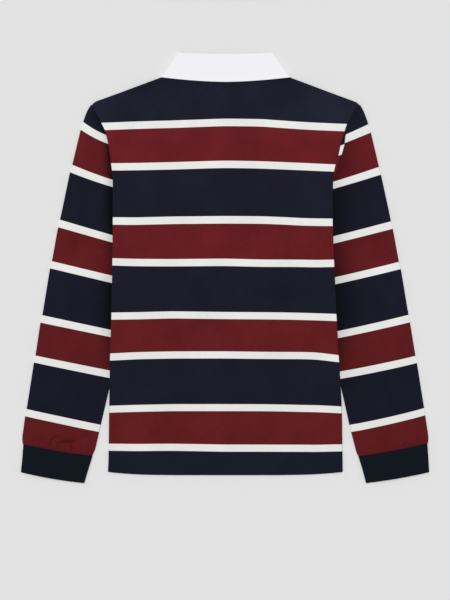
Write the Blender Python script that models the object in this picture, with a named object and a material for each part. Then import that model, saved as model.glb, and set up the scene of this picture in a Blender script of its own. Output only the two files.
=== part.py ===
"""A child's long-sleeved polo shirt, laid flat and face down with its collar towards +Y.

Every piece of cloth is one closed solid: a grid of points on its outer face, the same grid one cloth
thickness in, and a wall along each cut edge. Layers lie on each other with a small gap. Sizes are in
millimetres and become metres when a mesh is made.
"""

import math
from typing import NamedTuple

import bmesh
import bpy
from mathutils import Vector

MM = 0.001

# Cloth
JERSEY = 1.0  # thickness of the shirt's jersey
GAP = 0.3  # clear space between pieces
LAYER = JERSEY + GAP
TUBE = 2 * JERSEY + GAP  # height of a flattened jersey tube
CUFF_CLOTH = 1.4  # the cuff is folded double
SEAM = 0.4  # between pieces that are sewn edge to edge

# Pleat of the right sleeve beside its armhole
PLEAT_RISE = 0.9  # the cloth stands up this far along the pleat's edge
PLEAT_STEP = 1.2  # and comes down again over this width
PLEAT_SLOPE = 8.0  # width over which it rises towards the edge
PLEAT_FULL = 2.5  # a strip this wide gives the full rise
PLAIN_STRIP = 1.5  # width that a row without a pleat keeps for its columns

# Body
SHOULDER_ROUND = 6.5  # from the armhole seam to the straight shoulder line
SHOULDER_RISE = 5.2
SIDE_REST = 27.0  # a side that lies on the sleeve comes down over this width
SIDE_LIFT = TUBE + GAP
NECK_HALF = 68.0  # from the centre to where shoulder and neck meet
NECK_TOP = 249.0
BACK_DROP = 6.0  # the back neck dips this far
FRONT_DROP = 36.0
HEM_BOW = 4.8  # the hem hangs lower in its middle

# Placket
SLOT_HALF = 12.3
SLOT_LAP = 4.7
SLOT_ROWS = 5  # body rows that the slot runs through
PLACKET_TOP = 212.0
PLACKET_END = 108.0
BUTTON_RADIUS = 5.5
BUTTON_THICK = 1.2
BUTTON_PLACES = (201.0, 161.0, 121.0)
UNDER_STRIP = LAYER + BUTTON_THICK + GAP  # underside of the strip behind the buttons
BACK_OVER_PLACKET = UNDER_STRIP + LAYER - 2 * LAYER  # extra height of the back there

# Collar
LEAF_UNDER = 4.1  # underside of the back leaf
LEAF_TOP = LEAF_UNDER + JERSEY
LEAF_ROLL = 1.2  # outer radius of the roll where the leaf turns down
STAND_UNDER = 2 * LAYER
OPENING = 0.6  # half of the gap where the collar's ends meet


class BodyRow(NamedTuple):
    """Where one row across the body starts and ends, and how it lies."""

    left_x: float
    left_y: float
    right_x: float
    right_y: float
    top_share: float  # how much of the shoulder and neck line this row still has
    tuck: float  # width of the side that lies on the sleeve
    side: float  # share of the side lift
    centre: float  # share of the lift over collar and placket
    placket: float  # share of the extra height over the placket


BODY = (
    BodyRow(-170.0, 209.1, 171.3, 209.8, 1.00, 40, 0.0, 1.0, 0.0),
    BodyRow(-162.0, 189.7, 162.6, 194.5, 0.55, 40, 0.0, 1.0, 1.0),
    BodyRow(-154.3, 174.5, 153.1, 173.0, 0.30, 40, 0.0, 1.0, 1.0),
    BodyRow(-149.4, 158.5, 148.2, 158.0, 0.12, 40, 0.0, 0.5, 1.0),
    BodyRow(-146.7, 139.4, 144.0, 137.0, 0.00, 41, 0.0, 0.0, 1.0),
    BodyRow(-144.4, 113.5, 138.8, 112.5, 0.00, 42, 0.0, 0.0, 1.0),
    BodyRow(-143.9, 102.0, 138.5, 101.0, 0.00, 42, 0.1, 0.0, 1.0),
    BodyRow(-143.7, 71.0, 138.2, 71.0, 0.00, 42, 0.7, 0.0, 0.35),
    BodyRow(-143.7, 52.0, 137.9, 53.0, 0.00, 42, 1.0, 0.0, 0.1),
    BodyRow(-144.0, 20.0, 139.2, 20.0, 0.00, 39, 1.0, 0.0, 0.0),
    BodyRow(-144.6, -20.0, 140.8, -20.0, 0.00, 31, 1.0, 0.0, 0.0),
    BodyRow(-145.6, -62.0, 142.9, -62.0, 0.00, 23, 1.0, 0.0, 0.0),
    BodyRow(-146.9, -105.0, 145.3, -105.0, 0.00, 15, 1.0, 0.0, 0.0),
    BodyRow(-147.9, -156.0, 148.4, -156.0, 0.00, 9, 1.0, 0.0, 0.0),
    BodyRow(-148.4, -188.0, 149.8, -188.0, 0.00, 9, 0.4, 0.0, 0.0),
    BodyRow(-148.7, -222.0, 150.1, -222.0, 0.00, 9, 0.0, 0.0, 0.0),
    BodyRow(-149.0, -247.0, 150.4, -247.0, 0.00, 9, 0.0, 0.0, 0.0),
    BodyRow(-149.0, -259.6, 150.4, -259.4, 0.00, 9, 0.0, 0.0, 0.0),
)
UNDERARM_ROW = 8  # the armhole ends here; below it the sleeve goes under the body


class SleeveRow(NamedTuple):
    """One row across a sleeve, from its outer fold to the armhole seam or to its inner fold."""

    outer_x: float
    outer_y: float
    inner_x: float
    inner_y: float
    bow: float = 0.0  # how far the row's middle hangs below a straight line
    pleat: float = 0.0  # width of the strip that lies hidden under the pleat


# The first rows end on the body's rows, so these tables give only their outer ends.
LEFT_HEAD = (
    (-172.4, 206.3),
    (-177.6, 197.0),
    (-181.2, 187.5),
    (-184.4, 176.0),
    (-189.8, 153.5),
    (-194.9, 132.7),
    (-197.9, 121.9),
    (-205.0, 90.5),
    (-209.0, 70.5),
)
LEFT_ARM = (
    SleeveRow(-211.2, 59.5, -106.4, 31.0),
    SleeveRow(-220.9, 9.2, -117.0, -15.3),
    SleeveRow(-233.1, -59.8, -131.8, -81.2),
    SleeveRow(-241.9, -111.2, -143.1, -131.2),
    SleeveRow(-247.2, -147.0, -150.8, -165.5),
    SleeveRow(-253.2, -180.4, -158.7, -200.4),
    SleeveRow(-256.6, -202.0, -163.0, -219.0),
    SleeveRow(-259.2, -217.5, -166.4, -233.4, 1.0),
    SleeveRow(-258.5, -224.5, -169.5, -239.2, 1.6),
)
LEFT_CUFF = (
    SleeveRow(-257.5, -225.4, -170.7, -240.0, 1.6),
    SleeveRow(-259.4, -243.0, -175.3, -257.3, 1.8),
    SleeveRow(-261.5, -261.1, -180.7, -275.1, 2.0),
)
RIGHT_HEAD = (
    (174.0, 206.6),
    (178.2, 198.0),
    (183.2, 184.2),
    (186.4, 173.0),
    (191.8, 151.5),
    (196.6, 130.0),
    (199.3, 119.3),
    (206.0, 91.0),
    (210.2, 71.0),
)
RIGHT_PLEAT = {2: 2.2, 3: 4.8, 4: 3.5}  # width of the hidden strip at these rows
RIGHT_ARM = (
    SleeveRow(212.3, 60.2, 106.8, 32.7),
    SleeveRow(222.3, 8.3, 117.6, -15.8),
    SleeveRow(234.6, -59.3, 132.7, -82.2),
    SleeveRow(243.5, -111.7, 144.1, -132.1),
    SleeveRow(249.5, -147.0, 151.9, -166.5),
    SleeveRow(254.6, -178.6, 159.6, -200.1),
    SleeveRow(257.8, -200.0, 164.0, -219.0),
    SleeveRow(260.4, -216.6, 167.8, -234.4, 0.8),
    SleeveRow(259.9, -223.4, 170.4, -239.8, 1.2),
)
RIGHT_CUFF = (
    SleeveRow(258.9, -224.4, 171.6, -240.6, 1.2),
    SleeveRow(259.9, -242.5, 176.3, -257.2, 1.2),
    SleeveRow(261.5, -261.0, 181.0, -275.1, 1.2),
)


class CollarEdge(NamedTuple):
    """One long edge of a collar band: over the back neck, round both sides and down to the opening."""

    left: tuple  # where it turns round the left side
    right: tuple
    back_bow: float  # the back's middle lies this far below its ends
    front_bend: tuple  # half width and height that the front curve is drawn towards
    front_end: tuple  # half width and height where it ends at the opening


LEAF_ROLL_EDGE = CollarEdge((-59.5, 275.3), (60.7, 275.3), 1.5, (38.0, 248.0), (OPENING, 240.0))
LEAF_FREE_EDGE = CollarEdge((-82.5, 245.2), (84.5, 245.0), 6.9, (70.0, 214.0), (45.0, 190.0))
STAND_NECK_EDGE = CollarEdge((-68.4, 249.9), (68.4, 249.9), 6.4, (34.0, 213.7), (OPENING, 213.7))
STAND_TOP_EDGE = CollarEdge((-57.0, 273.4), (58.0, 273.4), 1.5, (36.0, 246.0), (OPENING, 237.5))


class Finish(NamedTuple):
    """A plain colour for one kind of piece."""

    name: str
    colour: tuple
    roughness: float


STRIPED = Finish("striped_jersey", (0.013, 0.014, 0.025), 0.85)
CUFF = Finish("cuff_cloth", (0.007, 0.010, 0.014), 0.85)
COLLAR = Finish("collar_twill", (0.86, 0.86, 0.90), 0.80)
BUTTON = Finish("button_rubber", (0.80, 0.80, 0.76), 0.45)
SMOOTH_UP_TO = math.radians(50.0)  # folds and rounds are shaded smooth, cut edges stay sharp


def clear_scene():
    """Remove whatever the scene starts with."""
    for item in list(bpy.data.objects):
        bpy.data.objects.remove(item, do_unlink=True)


def mix(a, b, share):
    """The value or point that lies this share of the way from a to b."""
    if isinstance(a, tuple):
        return tuple(mix(p, q, share) for p, q in zip(a, b))
    return a + (b - a) * share


def make_object(name, bm, finish):
    """Turn a bmesh into a named object with its own material."""
    bmesh.ops.recalc_face_normals(bm, faces=bm.faces)
    mesh = bpy.data.meshes.new(name)
    bm.to_mesh(mesh)
    bm.free()
    mesh.shade_smooth()
    mesh.set_sharp_from_angle(angle=SMOOTH_UP_TO)
    material = bpy.data.materials.new(name + "_" + finish.name)
    material.use_nodes = True
    shader = material.node_tree.nodes["Principled BSDF"]
    shader.inputs["Base Color"].default_value = (*finish.colour, 1.0)
    shader.inputs["Roughness"].default_value = finish.roughness
    shader.inputs["Metallic"].default_value = 0.0
    mesh.materials.append(material)
    item = bpy.data.objects.new(name, mesh)
    bpy.context.collection.objects.link(item)
    return item


def cloth(name, outer, inner, finish, closed=False, missing=()):
    """Make a closed cloth solid from two matching grids of points.

    closed joins the last column to the first. missing holds the (row, column) cells that are cut out.
    Each cell is split along the same diagonal on both faces, so stacked layers keep their gap.
    """
    bm = bmesh.new()
    columns = len(outer[0])
    made = {}

    def corner(grid, row, column):
        key = (grid is outer, row, column % columns)
        if key not in made:
            made[key] = bm.verts.new(Vector(grid[row][column % columns]) * MM)
        return made[key]

    width = columns if closed else columns - 1
    cells = [(i, j) for i in range(len(outer) - 1) for j in range(width) if (i, j) not in missing]
    present = set(cells)
    for i, j in cells:
        a, b, c, d = (i, j), (i, j + 1), (i + 1, j + 1), (i + 1, j)
        for grid in (outer, inner):
            bm.faces.new([corner(grid, *p) for p in (a, b, c)])
            bm.faces.new([corner(grid, *p) for p in (a, c, d)])
        after = (j + 1) % columns if closed else j + 1
        before = (j - 1) % columns if closed else j - 1
        sides = (((i - 1, j), a, b), ((i, after), b, c), ((i + 1, j), c, d), ((i, before), d, a))
        for neighbour, p, q in sides:
            if neighbour not in present:
                p_out, q_out = corner(outer, *p), corner(outer, *q)
                p_in, q_in = corner(inner, *p), corner(inner, *q)
                bm.faces.new([p_out, q_out, q_in])
                bm.faces.new([p_out, q_in, p_in])
    return make_object(name, bm, finish)


# Body

CENTRE_COLUMNS = (34.0, 20.0, SLOT_HALF)
REST_STEPS = ((0, 1.0), (9, 0.75), (18, 0.25), (SIDE_REST, 0.0))  # distance past the tuck, share of lift
FAN_SHARES = (0.75, 0.5, 0.25)
PLACKET_FADE = (0.0, 0.1, 0.35, 0.75, 1.0, 1.0)  # from the outer fan column to the slot


class Column(NamedTuple):
    """One column of a body row."""

    x: float
    side: float  # share of the side lift
    centre: float  # share of the collar lift
    slot: float  # share of the placket lift


def half_columns(edge_x, tuck, sign):
    """The columns of one half of a body row, from the side edge towards the centre."""
    half = abs(edge_x)
    columns = [Column(half, 1.0, 0.0, 0.0), Column(half - SHOULDER_ROUND, 1.0, 0.0, 0.0)]
    columns += [Column(half - tuck - step, share, 1.0 - share, 0.0) for step, share in REST_STEPS]
    inner = half - tuck - SIDE_REST
    xs = [mix(CENTRE_COLUMNS[0], inner, share) for share in FAN_SHARES] + list(CENTRE_COLUMNS)
    columns += [Column(x, 0.0, 1.0, fade) for x, fade in zip(xs, PLACKET_FADE)]
    return [column._replace(x=sign * column.x) for column in columns]


def row_columns(row):
    """All columns of a body row from left to right."""
    left = half_columns(row.left_x, row.tuck, -1)
    right = half_columns(row.right_x, row.tuck, 1)
    return left + [Column(0.0, 0.0, 1.0, 1.0)] + right[::-1]


def top_line(x, drop):
    """Height of the shoulder and neck line at x, in the first row."""
    first = BODY[0]
    if abs(x) <= NECK_HALF:
        return NECK_TOP - drop * (1.0 - (x / NECK_HALF) ** 2)
    tip_x = first.left_x if x < 0 else first.right_x
    tip_y = first.left_y if x < 0 else first.right_y
    knee = (abs(tip_x) - SHOULDER_ROUND, tip_y + SHOULDER_RISE)
    if abs(x) > knee[0]:
        return mix(knee[1], tip_y, (abs(x) - knee[0]) / SHOULDER_ROUND)
    return mix(NECK_TOP, knee[1], (abs(x) - NECK_HALF) / (knee[0] - NECK_HALF))


def panel_points(drop, is_back):
    """Two grids of points, the upper and the lower face of a body panel."""
    first = BODY[0]
    upper, lower = [], []
    for number, row in enumerate(BODY):
        upper_row, lower_row = [], []
        for column in row_columns(row):
            across = (column.x - row.left_x) / (row.right_x - row.left_x)
            y = mix(row.left_y, row.right_y, across)
            y += row.top_share * (top_line(column.x, drop) - mix(first.left_y, first.right_y, across))
            if number == len(BODY) - 1:
                y -= HEM_BOW * (1.0 - abs(2.0 * across - 1.0) ** 3)
            lift = SIDE_LIFT * row.side * column.side
            lift = max(lift, LAYER * row.centre * column.centre, LAYER * row.placket * column.slot)
            if is_back:
                lift += LAYER + BACK_OVER_PLACKET * row.placket * column.slot
            lower_row.append((column.x, y, lift))
            upper_row.append((column.x, y, lift + JERSEY))
        upper.append(upper_row)
        lower.append(lower_row)
    return upper, lower


def build_body():
    """The back panel, and the front panel with its placket slot."""
    upper, lower = panel_points(BACK_DROP, True)
    cloth("back_panel", upper, lower, STRIPED)
    upper, lower = panel_points(FRONT_DROP, False)
    middle = len(upper[0]) // 2
    slot = {(i, j) for i in range(SLOT_ROWS) for j in (middle - 1, middle)}
    cloth("front_panel", upper, lower, STRIPED, missing=slot)


# Sleeves and cuffs

FLAT_CELLS = 7
UPPER_CELLS = FLAT_CELLS + 3  # the upper sheet has three more beside the armhole, for the pleat
FOLD_CELLS = 4


def tube_ring(row, wall, open_inner):
    """Outer and inner points of one ring of a flattened tube.

    The ring runs over the top from the outer fold to the inner one, round it, back below, and round
    the outer fold. With open_inner the sheets reach the seam instead of turning there.
    """
    radius = wall + GAP / 2
    start, end = Vector((row.outer_x, row.outer_y, 0.0)), Vector((row.inner_x, row.inner_y, 0.0))
    along = (end - start).normalized()
    width = (end - start).length
    last = width - (SEAM if open_inner else radius)

    def place(distance, reach, height):
        share = distance / width
        point = start + along * (distance + reach)
        return (point.x, point.y - row.bow * 4.0 * share * (1.0 - share), height)

    edge = last - max(row.pleat, PLAIN_STRIP)
    rise = PLEAT_RISE * min(1.0, row.pleat / PLEAT_FULL)
    upper = [(mix(radius, edge - PLEAT_SLOPE, k / FLAT_CELLS), 0.0) for k in range(FLAT_CELLS + 1)]
    upper += [(edge - PLEAT_STEP, rise), (edge, 0.0), (last, 0.0)]
    lower = [mix(last, radius, k / FLAT_CELLS) for k in range(FLAT_CELLS + 1)]
    turns = [math.pi * k / FOLD_CELLS for k in range(1, FOLD_CELLS)]
    rings = []
    for bend in (radius, GAP / 2):
        ring = [place(flat, 0.0, radius + bend + lift) for flat, lift in upper]
        ring += [place(last, bend * math.sin(a), radius + bend * math.cos(a)) for a in turns]
        ring += [place(flat, 0.0, radius - bend) for flat in lower]
        ring += [place(radius, -bend * math.sin(a), radius - bend * math.cos(a)) for a in turns]
        rings.append(ring)
    return rings


def head_rows(outer_ends, is_left):
    """Sleeve rows from the shoulder to the underarm, which end on the armhole seam."""
    seam = [(row.left_x, row.left_y) if is_left else (row.right_x, row.right_y) for row in BODY]
    rows = []
    for number, outer in enumerate(outer_ends):
        inner = mix(seam[0], seam[1], 0.12) if number == 0 else seam[number]
        pleat = 0.0 if is_left else RIGHT_PLEAT.get(number, 0.0)
        rows.append(SleeveRow(*outer, *inner, pleat=pleat))
    return rows


def build_tube(name, rows, wall, finish, open_rows=0):
    """A flattened tube; its inner fold is open over the first rows."""
    rings = [tube_ring(row, wall, number <= open_rows and open_rows > 0) for number, row in enumerate(rows)]
    outer = [ring[0] for ring in rings]
    inner = [ring[1] for ring in rings]
    fold = range(UPPER_CELLS, UPPER_CELLS + FOLD_CELLS)
    missing = {(i, j) for i in range(open_rows) for j in fold}
    cloth(name, outer, inner, finish, closed=True, missing=missing)


def build_sleeves():
    """Both sleeves with their cuffs."""
    for side, head, arm, cuff in (
        ("left", LEFT_HEAD, LEFT_ARM, LEFT_CUFF),
        ("right", RIGHT_HEAD, RIGHT_ARM, RIGHT_CUFF),
    ):
        rows = head_rows(head, side == "left") + list(arm)
        build_tube("sleeve_" + side, rows, JERSEY, STRIPED, open_rows=UNDERARM_ROW)
        build_tube("cuff_" + side, cuff, CUFF_CLOTH, CUFF)


# Collar

BACK_CELLS = 12
FRONT_CELLS = 6
SIDE_CELLS = 4


def curve(start, bend, end, share):
    """A point on the quadratic curve from start to end."""
    return mix(mix(start, bend, share), mix(bend, end, share), share)


def blend_edge(first, second, share):
    """The band's line that lies this share of the way between two edges."""
    return CollarEdge(*(mix(a, b, share) for a, b in zip(first, second)))


def band_ring(edge, under, top):
    """Points and outward directions along a band, from the left opening round the back to the right.

    The front lies at the height under, the back at the height top, and a half turn joins them.
    """
    radius = (top - under) / 2
    left, right = edge.left, edge.right
    points, normals = [], []
    for sign, side in ((-1, left), (1, right)):
        turn_x = side[0] - sign * radius
        bend = (sign * edge.front_bend[0], edge.front_bend[1])
        end = (sign * edge.front_end[0], edge.front_end[1])
        front = [curve(end, bend, (turn_x, side[1]), k / FRONT_CELLS) for k in range(FRONT_CELLS + 1)]
        angles = [math.pi * k / SIDE_CELLS for k in range(1, SIDE_CELLS)]
        half = [((x, y, under), (0.0, 0.0, -1.0)) for x, y in front]
        for angle in angles:
            out = (sign * math.sin(angle), 0.0, -math.cos(angle))
            half.append(((turn_x + radius * out[0], side[1], under + radius + radius * out[2]), out))
        if sign < 0:
            points_left = half
        else:
            points_right = half[::-1]
    first, last = left[0] + radius, right[0] - radius
    back = []
    for k in range(BACK_CELLS + 1):
        share = k / BACK_CELLS
        y = mix(left[1], right[1], share) - edge.back_bow * 4.0 * share * (1.0 - share)
        back.append(((mix(first, last, share), y, top), (0.0, 0.0, 1.0)))
    for point, normal in points_left + back + points_right:
        points.append(Vector(point))
        normals.append(Vector(normal))
    return points, normals


def inward(points, normals, depth):
    """The same points moved in by a depth."""
    return [tuple(p - n * depth) for p, n in zip(points, normals)]


def build_leaf():
    """The collar leaf: its top edge rolls in, and its points lie on the front."""
    shares = (0.0, 0.08, 0.36, 0.68, 1.0)
    lines = [band_ring(blend_edge(LEAF_ROLL_EDGE, LEAF_FREE_EDGE, s), 0.0, LEAF_TOP) for s in shares]
    (start, normals), (second, _) = lines[0], lines[1]
    rolled_in = [(p - q).to_3d() for p, q in zip(start, second)]
    outer, inner = [], []
    for angle in (math.pi / 2, math.pi / 4, 0.0):
        outer_row, inner_row = [], []
        for p, n, back in zip(start, normals, rolled_in):
            out = Vector((back.x, back.y, 0.0)).normalized()
            for row, radius in ((outer_row, LEAF_ROLL), (inner_row, LEAF_ROLL - JERSEY)):
                shift = radius * math.sin(angle) - LEAF_ROLL
                sink = LEAF_ROLL - radius * math.cos(angle)
                row.append(tuple(p + out * shift - n * sink))
        outer.append(outer_row)
        inner.append(inner_row)
    for points, outward in lines[1:]:
        outer.append([tuple(p) for p in points])
        inner.append(inward(points, outward, JERSEY))
    cloth("collar_leaf", outer, inner, COLLAR)


def build_stand():
    """The stand between the neck seam and the leaf."""
    outer, inner = [], []
    for share in (0.0, 0.5, 1.0):
        edge = blend_edge(STAND_NECK_EDGE, STAND_TOP_EDGE, share)
        points, normals = band_ring(edge, LAYER, STAND_UNDER + JERSEY)
        outer.append([tuple(p) for p in points])
        inner.append(inward(points, normals, JERSEY))
    cloth("collar_stand", outer, inner, COLLAR)


# Placket

def build_placket():
    """Both strips of the placket and the flat buttons between them."""
    half = SLOT_HALF + SLOT_LAP
    for name, under in (("placket_over", 0.0), ("placket_under", UNDER_STRIP)):
        plan = [[(x, y) for x in (-half, 0.0, half)] for y in (PLACKET_TOP, PLACKET_END)]
        lower = [[(x, y, under) for x, y in row] for row in plan]
        upper = [[(x, y, under + JERSEY) for x, y in row] for row in plan]
        cloth(name, upper, lower, COLLAR)
    for number, y in enumerate(BUTTON_PLACES, start=1):
        bm = bmesh.new()
        bmesh.ops.create_cone(
            bm,
            cap_ends=True,
            segments=20,
            radius1=BUTTON_RADIUS * MM,
            radius2=BUTTON_RADIUS * MM,
            depth=BUTTON_THICK * MM,
        )
        button = make_object("button_" + str(number), bm, BUTTON)
        button.location = Vector((0.0, y, LAYER + BUTTON_THICK / 2)) * MM


def main():
    """Build the whole shirt."""
    clear_scene()
    build_body()
    build_sleeves()
    build_leaf()
    build_stand()
    build_placket()


main()
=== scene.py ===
"""A child's long-sleeved polo shirt laid flat: the finish of every piece, made round its solids.

The shirt lies face down with its collar towards +Y. Every cloth piece is a thin closed shell on the form
of its solid. A point attribute named "cloth" holds where each point lies on the cloth, across and along
it in metres, so that bands, knit and twill follow the cloth and its folds, and as its third value the
shade and light painted into the cloth: painted shade above 0 and painted light below 0.
Tables are in millimetres and become metres when a mesh is made.
"""

import sys
import logging
import math
from dataclasses import dataclass, field
from enum import Enum
from typing import Callable, Iterable, NamedTuple

import bmesh
import bpy
import numpy as np
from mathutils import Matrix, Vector
from mathutils.bvhtree import BVHTree


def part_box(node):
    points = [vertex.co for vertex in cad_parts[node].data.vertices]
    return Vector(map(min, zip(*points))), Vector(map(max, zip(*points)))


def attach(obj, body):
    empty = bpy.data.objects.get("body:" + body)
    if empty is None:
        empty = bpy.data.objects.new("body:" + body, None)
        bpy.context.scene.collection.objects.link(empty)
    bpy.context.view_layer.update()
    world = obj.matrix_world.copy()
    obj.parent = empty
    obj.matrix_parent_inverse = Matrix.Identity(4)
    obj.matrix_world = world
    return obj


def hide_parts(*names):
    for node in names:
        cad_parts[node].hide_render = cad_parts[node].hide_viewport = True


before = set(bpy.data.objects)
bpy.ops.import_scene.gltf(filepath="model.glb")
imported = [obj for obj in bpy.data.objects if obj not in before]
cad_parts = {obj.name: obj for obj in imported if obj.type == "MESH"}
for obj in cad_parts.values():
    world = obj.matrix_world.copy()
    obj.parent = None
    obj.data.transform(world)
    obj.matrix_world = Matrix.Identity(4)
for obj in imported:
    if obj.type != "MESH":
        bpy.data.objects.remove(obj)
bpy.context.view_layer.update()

MM = 0.001
BODY = "root"
LOG = logging.getLogger("polo_shirt")


class Slot(Enum):
    """Material slots of the record."""

    JERSEY = "striped_jersey"
    CUFF = "navy_cuff"
    TWILL = "white_twill"
    RUBBER = "white_rubber"


class Side(Enum):
    """Which side of the shirt, as seen from above."""

    LEFT = -1
    RIGHT = 1


class Held(Enum):
    """How a sheet of cloth keeps its shape."""

    LAID = "laid"
    FOLDED = "folded"


# ---------------------------------------------------------------------------------------------------
# Small tools
# ---------------------------------------------------------------------------------------------------


def eased(at: np.ndarray, xs: tuple | list, ys: tuple | list, radius: float) -> np.ndarray:
    """Read a table as a smooth curve.

    Args:
        at: Places to read.
        xs: The table's places, in rising order.
        ys: The table's values.
        radius: Width of the rounding at each row, in the units of xs.

    Returns:
        The values at those places.
    """
    reach = 8  # how many fine steps the rounding reads on each side
    step = radius / 4.0
    beyond = 4 * radius
    fine = np.arange(xs[0] - beyond, xs[-1] + beyond, step)
    inside = np.clip(fine, xs[0], xs[-1])
    value = np.interp(inside, xs, ys)
    start_slope = (ys[1] - ys[0]) / (xs[1] - xs[0])
    end_slope = (ys[-1] - ys[-2]) / (xs[-1] - xs[-2])
    value = value + np.where(fine < xs[0], (fine - xs[0]) * start_slope, 0.0)
    value = value + np.where(fine > xs[-1], (fine - xs[-1]) * end_slope, 0.0)
    kernel = np.exp(-0.5 * (np.arange(-reach, reach + 1) * step / (radius / 2.0)) ** 2)
    rounded = np.convolve(value, kernel / kernel.sum(), mode="same")
    return np.interp(at, fine[reach:-reach], rounded[reach:-reach])


def smooth_step(value: np.ndarray, low: float, high: float) -> np.ndarray:
    """A soft step from 0 at low to 1 at high.

    Args:
        value: Where to read the step.
        low: Where it starts.
        high: Where it ends.

    Returns:
        Values from 0 to 1.
    """
    share = np.clip((value - low) / (high - low), 0.0, 1.0)
    return share * share * (3.0 - 2.0 * share)


def bell(value: np.ndarray | float, width: float) -> np.ndarray | float:
    """A soft hump: 1 where the value is 0, and falling to 1/e where it is one width away."""
    return np.exp(-((value / width) ** 2))


def blurred(values: np.ndarray, mask: np.ndarray, cells: float) -> np.ndarray:
    """Blur a raster, reading only where the mask is set.

    Args:
        values: The raster.
        mask: 1 where the raster holds something, 0 elsewhere.
        cells: Standard deviation of the blur, in cells.

    Returns:
        The blurred raster, filled outwards past the mask.
    """
    reach = int(3 * cells) + 1
    kernel = np.exp(-0.5 * (np.arange(-reach, reach + 1) / cells) ** 2)

    def blur_line(line: np.ndarray) -> np.ndarray:
        """One row or column, blurred."""
        return np.convolve(line, kernel, mode="same")

    def pass_over(raster: np.ndarray) -> np.ndarray:
        """The raster blurred along both directions."""
        return np.apply_along_axis(blur_line, 1, np.apply_along_axis(blur_line, 0, raster))

    weight = pass_over(mask.astype(float))
    total = pass_over(np.where(mask > 0, values, 0.0))
    return total / np.maximum(weight, 1e-9)


class Ripple:
    """A gentle unevenness of a laid cloth, the same on every run."""

    def __init__(self, seed: int, shortest: float, longest: float, count: int = 14) -> None:
        """Choose the waves.

        Args:
            seed: Start of the random draws.
            shortest: Shortest wave, in millimetres.
            longest: Longest wave, in millimetres.
            count: How many waves are added up.
        """
        draw = np.random.default_rng(seed)
        lengths = np.exp(draw.uniform(math.log(shortest), math.log(longest), count))
        angles = draw.uniform(0.0, math.pi, count)
        self.kx = 2 * math.pi / lengths * np.cos(angles)
        self.ky = 2 * math.pi / lengths * np.sin(angles)
        self.phase = draw.uniform(0.0, 2 * math.pi, count)
        self.size = (lengths / longest) ** 0.7
        self.size /= np.sqrt((self.size**2).sum() / 2)

    def __call__(self, x: np.ndarray, y: np.ndarray) -> np.ndarray:
        """The unevenness at x and y in millimetres, with a spread of about 1.

        Args:
            x: Places across the shirt, in millimetres.
            y: Places along the shirt, in millimetres.

        Returns:
            Heights.
        """
        total = np.zeros_like(np.asarray(x, float))
        for kx, ky, phase, size in zip(self.kx, self.ky, self.phase, self.size):
            total = total + size * np.sin(kx * x + ky * y + phase)
        return total


SHOULDER_DEPTH = 0.45  # share of a crease's depth by which the cloth beside it stands up
SHOULDER_WIDTH = 2.1  # and how much wider than the crease that reaches


class Crease(NamedTuple):
    """A soft trough, or a ridge where depth is negative, pressed into laid cloth."""

    x: float
    y: float
    angle: float  # direction of its length, in degrees from +X
    length: float
    width: float
    depth: float
    bend: float = 0.0  # how far its middle lies off the straight line

    def height(self, x: np.ndarray, y: np.ndarray) -> np.ndarray:
        """Height that the crease adds at x and y.

        Args:
            x: Places across the shirt.
            y: Places along the shirt.

        Returns:
            Heights, all in millimetres.
        """
        turn = math.radians(self.angle)
        along = (x - self.x) * math.cos(turn) + (y - self.y) * math.sin(turn)
        across = -(x - self.x) * math.sin(turn) + (y - self.y) * math.cos(turn)
        share = np.clip(2 * along / self.length, -1.0, 1.0)
        across = across - self.bend * (1.0 - share**2)
        shoulder = SHOULDER_DEPTH * bell(across, SHOULDER_WIDTH * self.width)
        return -self.depth * (bell(across, self.width) - shoulder) * (1.0 - share**4) ** 2


def creased(creases: tuple, x: np.ndarray, y: np.ndarray) -> np.ndarray:
    """Height that all these creases add together."""
    return sum((crease.height(x, y) for crease in creases), np.zeros_like(x))


CLEAR = 50.0  # a height above every piece


def faces_of(piece: bpy.types.Object) -> BVHTree:
    """The faces of a solid or a piece, to cast rays at."""
    return BVHTree.FromObject(piece, bpy.context.evaluated_depsgraph_get())


def struck(tree: BVHTree, x: float, y: float, above: bool = True) -> float | None:
    """Find the height of the first face above or below a place.

    Args:
        tree: The faces.
        x: Place across the shirt.
        y: Place along the shirt.
        above: True looks down from above, False up from below.

    Returns:
        The height in millimetres, or None where no face is met.
    """
    sign = 1 if above else -1
    hit = tree.ray_cast(Vector((x * MM, y * MM, sign * CLEAR * MM)), Vector((0, 0, -sign)))[0]
    return None if hit is None else hit.z / MM


class Lie:
    """How a piece lies: the smoothed height of its solid's upper or lower face."""

    CELL = 4.0
    MARGIN = 8.0  # how far the raster reaches past the solid

    def __init__(self, node: str, above: bool, soften: float) -> None:
        """Read the heights of a solid.

        Args:
            node: Name of the solid.
            above: True for its upper face, False for its lower one.
            soften: Standard deviation of the smoothing, in millimetres.
        """
        low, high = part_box(node)
        self.x = np.arange(low.x / MM - self.MARGIN, high.x / MM + self.MARGIN, self.CELL)
        self.y = np.arange(low.y / MM - self.MARGIN, high.y / MM + self.MARGIN, self.CELL)
        tree = faces_of(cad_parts[node])
        heights = np.array([[struck(tree, x, y, above) for x in self.x] for y in self.y], float)
        mask = np.isfinite(heights)
        self.heights = blurred(np.nan_to_num(heights), mask, soften / self.CELL)

    def __call__(self, x: np.ndarray, y: np.ndarray) -> np.ndarray:
        """Smoothed height at x and y.

        Args:
            x: Places across the shirt, in millimetres.
            y: Places along the shirt, in millimetres.

        Returns:
            Heights, in millimetres.
        """
        inside = 1.001  # keeps the last cell's far corner within the raster
        column = np.clip((x - self.x[0]) / self.CELL, 0, len(self.x) - inside)
        row = np.clip((y - self.y[0]) / self.CELL, 0, len(self.y) - inside)
        i, j = row.astype(int), column.astype(int)
        past_row, past_column = row - i, column - j
        grid = self.heights
        near = grid[i, j] * (1 - past_column) + grid[i, j + 1] * past_column
        far = grid[i + 1, j] * (1 - past_column) + grid[i + 1, j + 1] * past_column
        return near * (1 - past_row) + far * past_row


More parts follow.
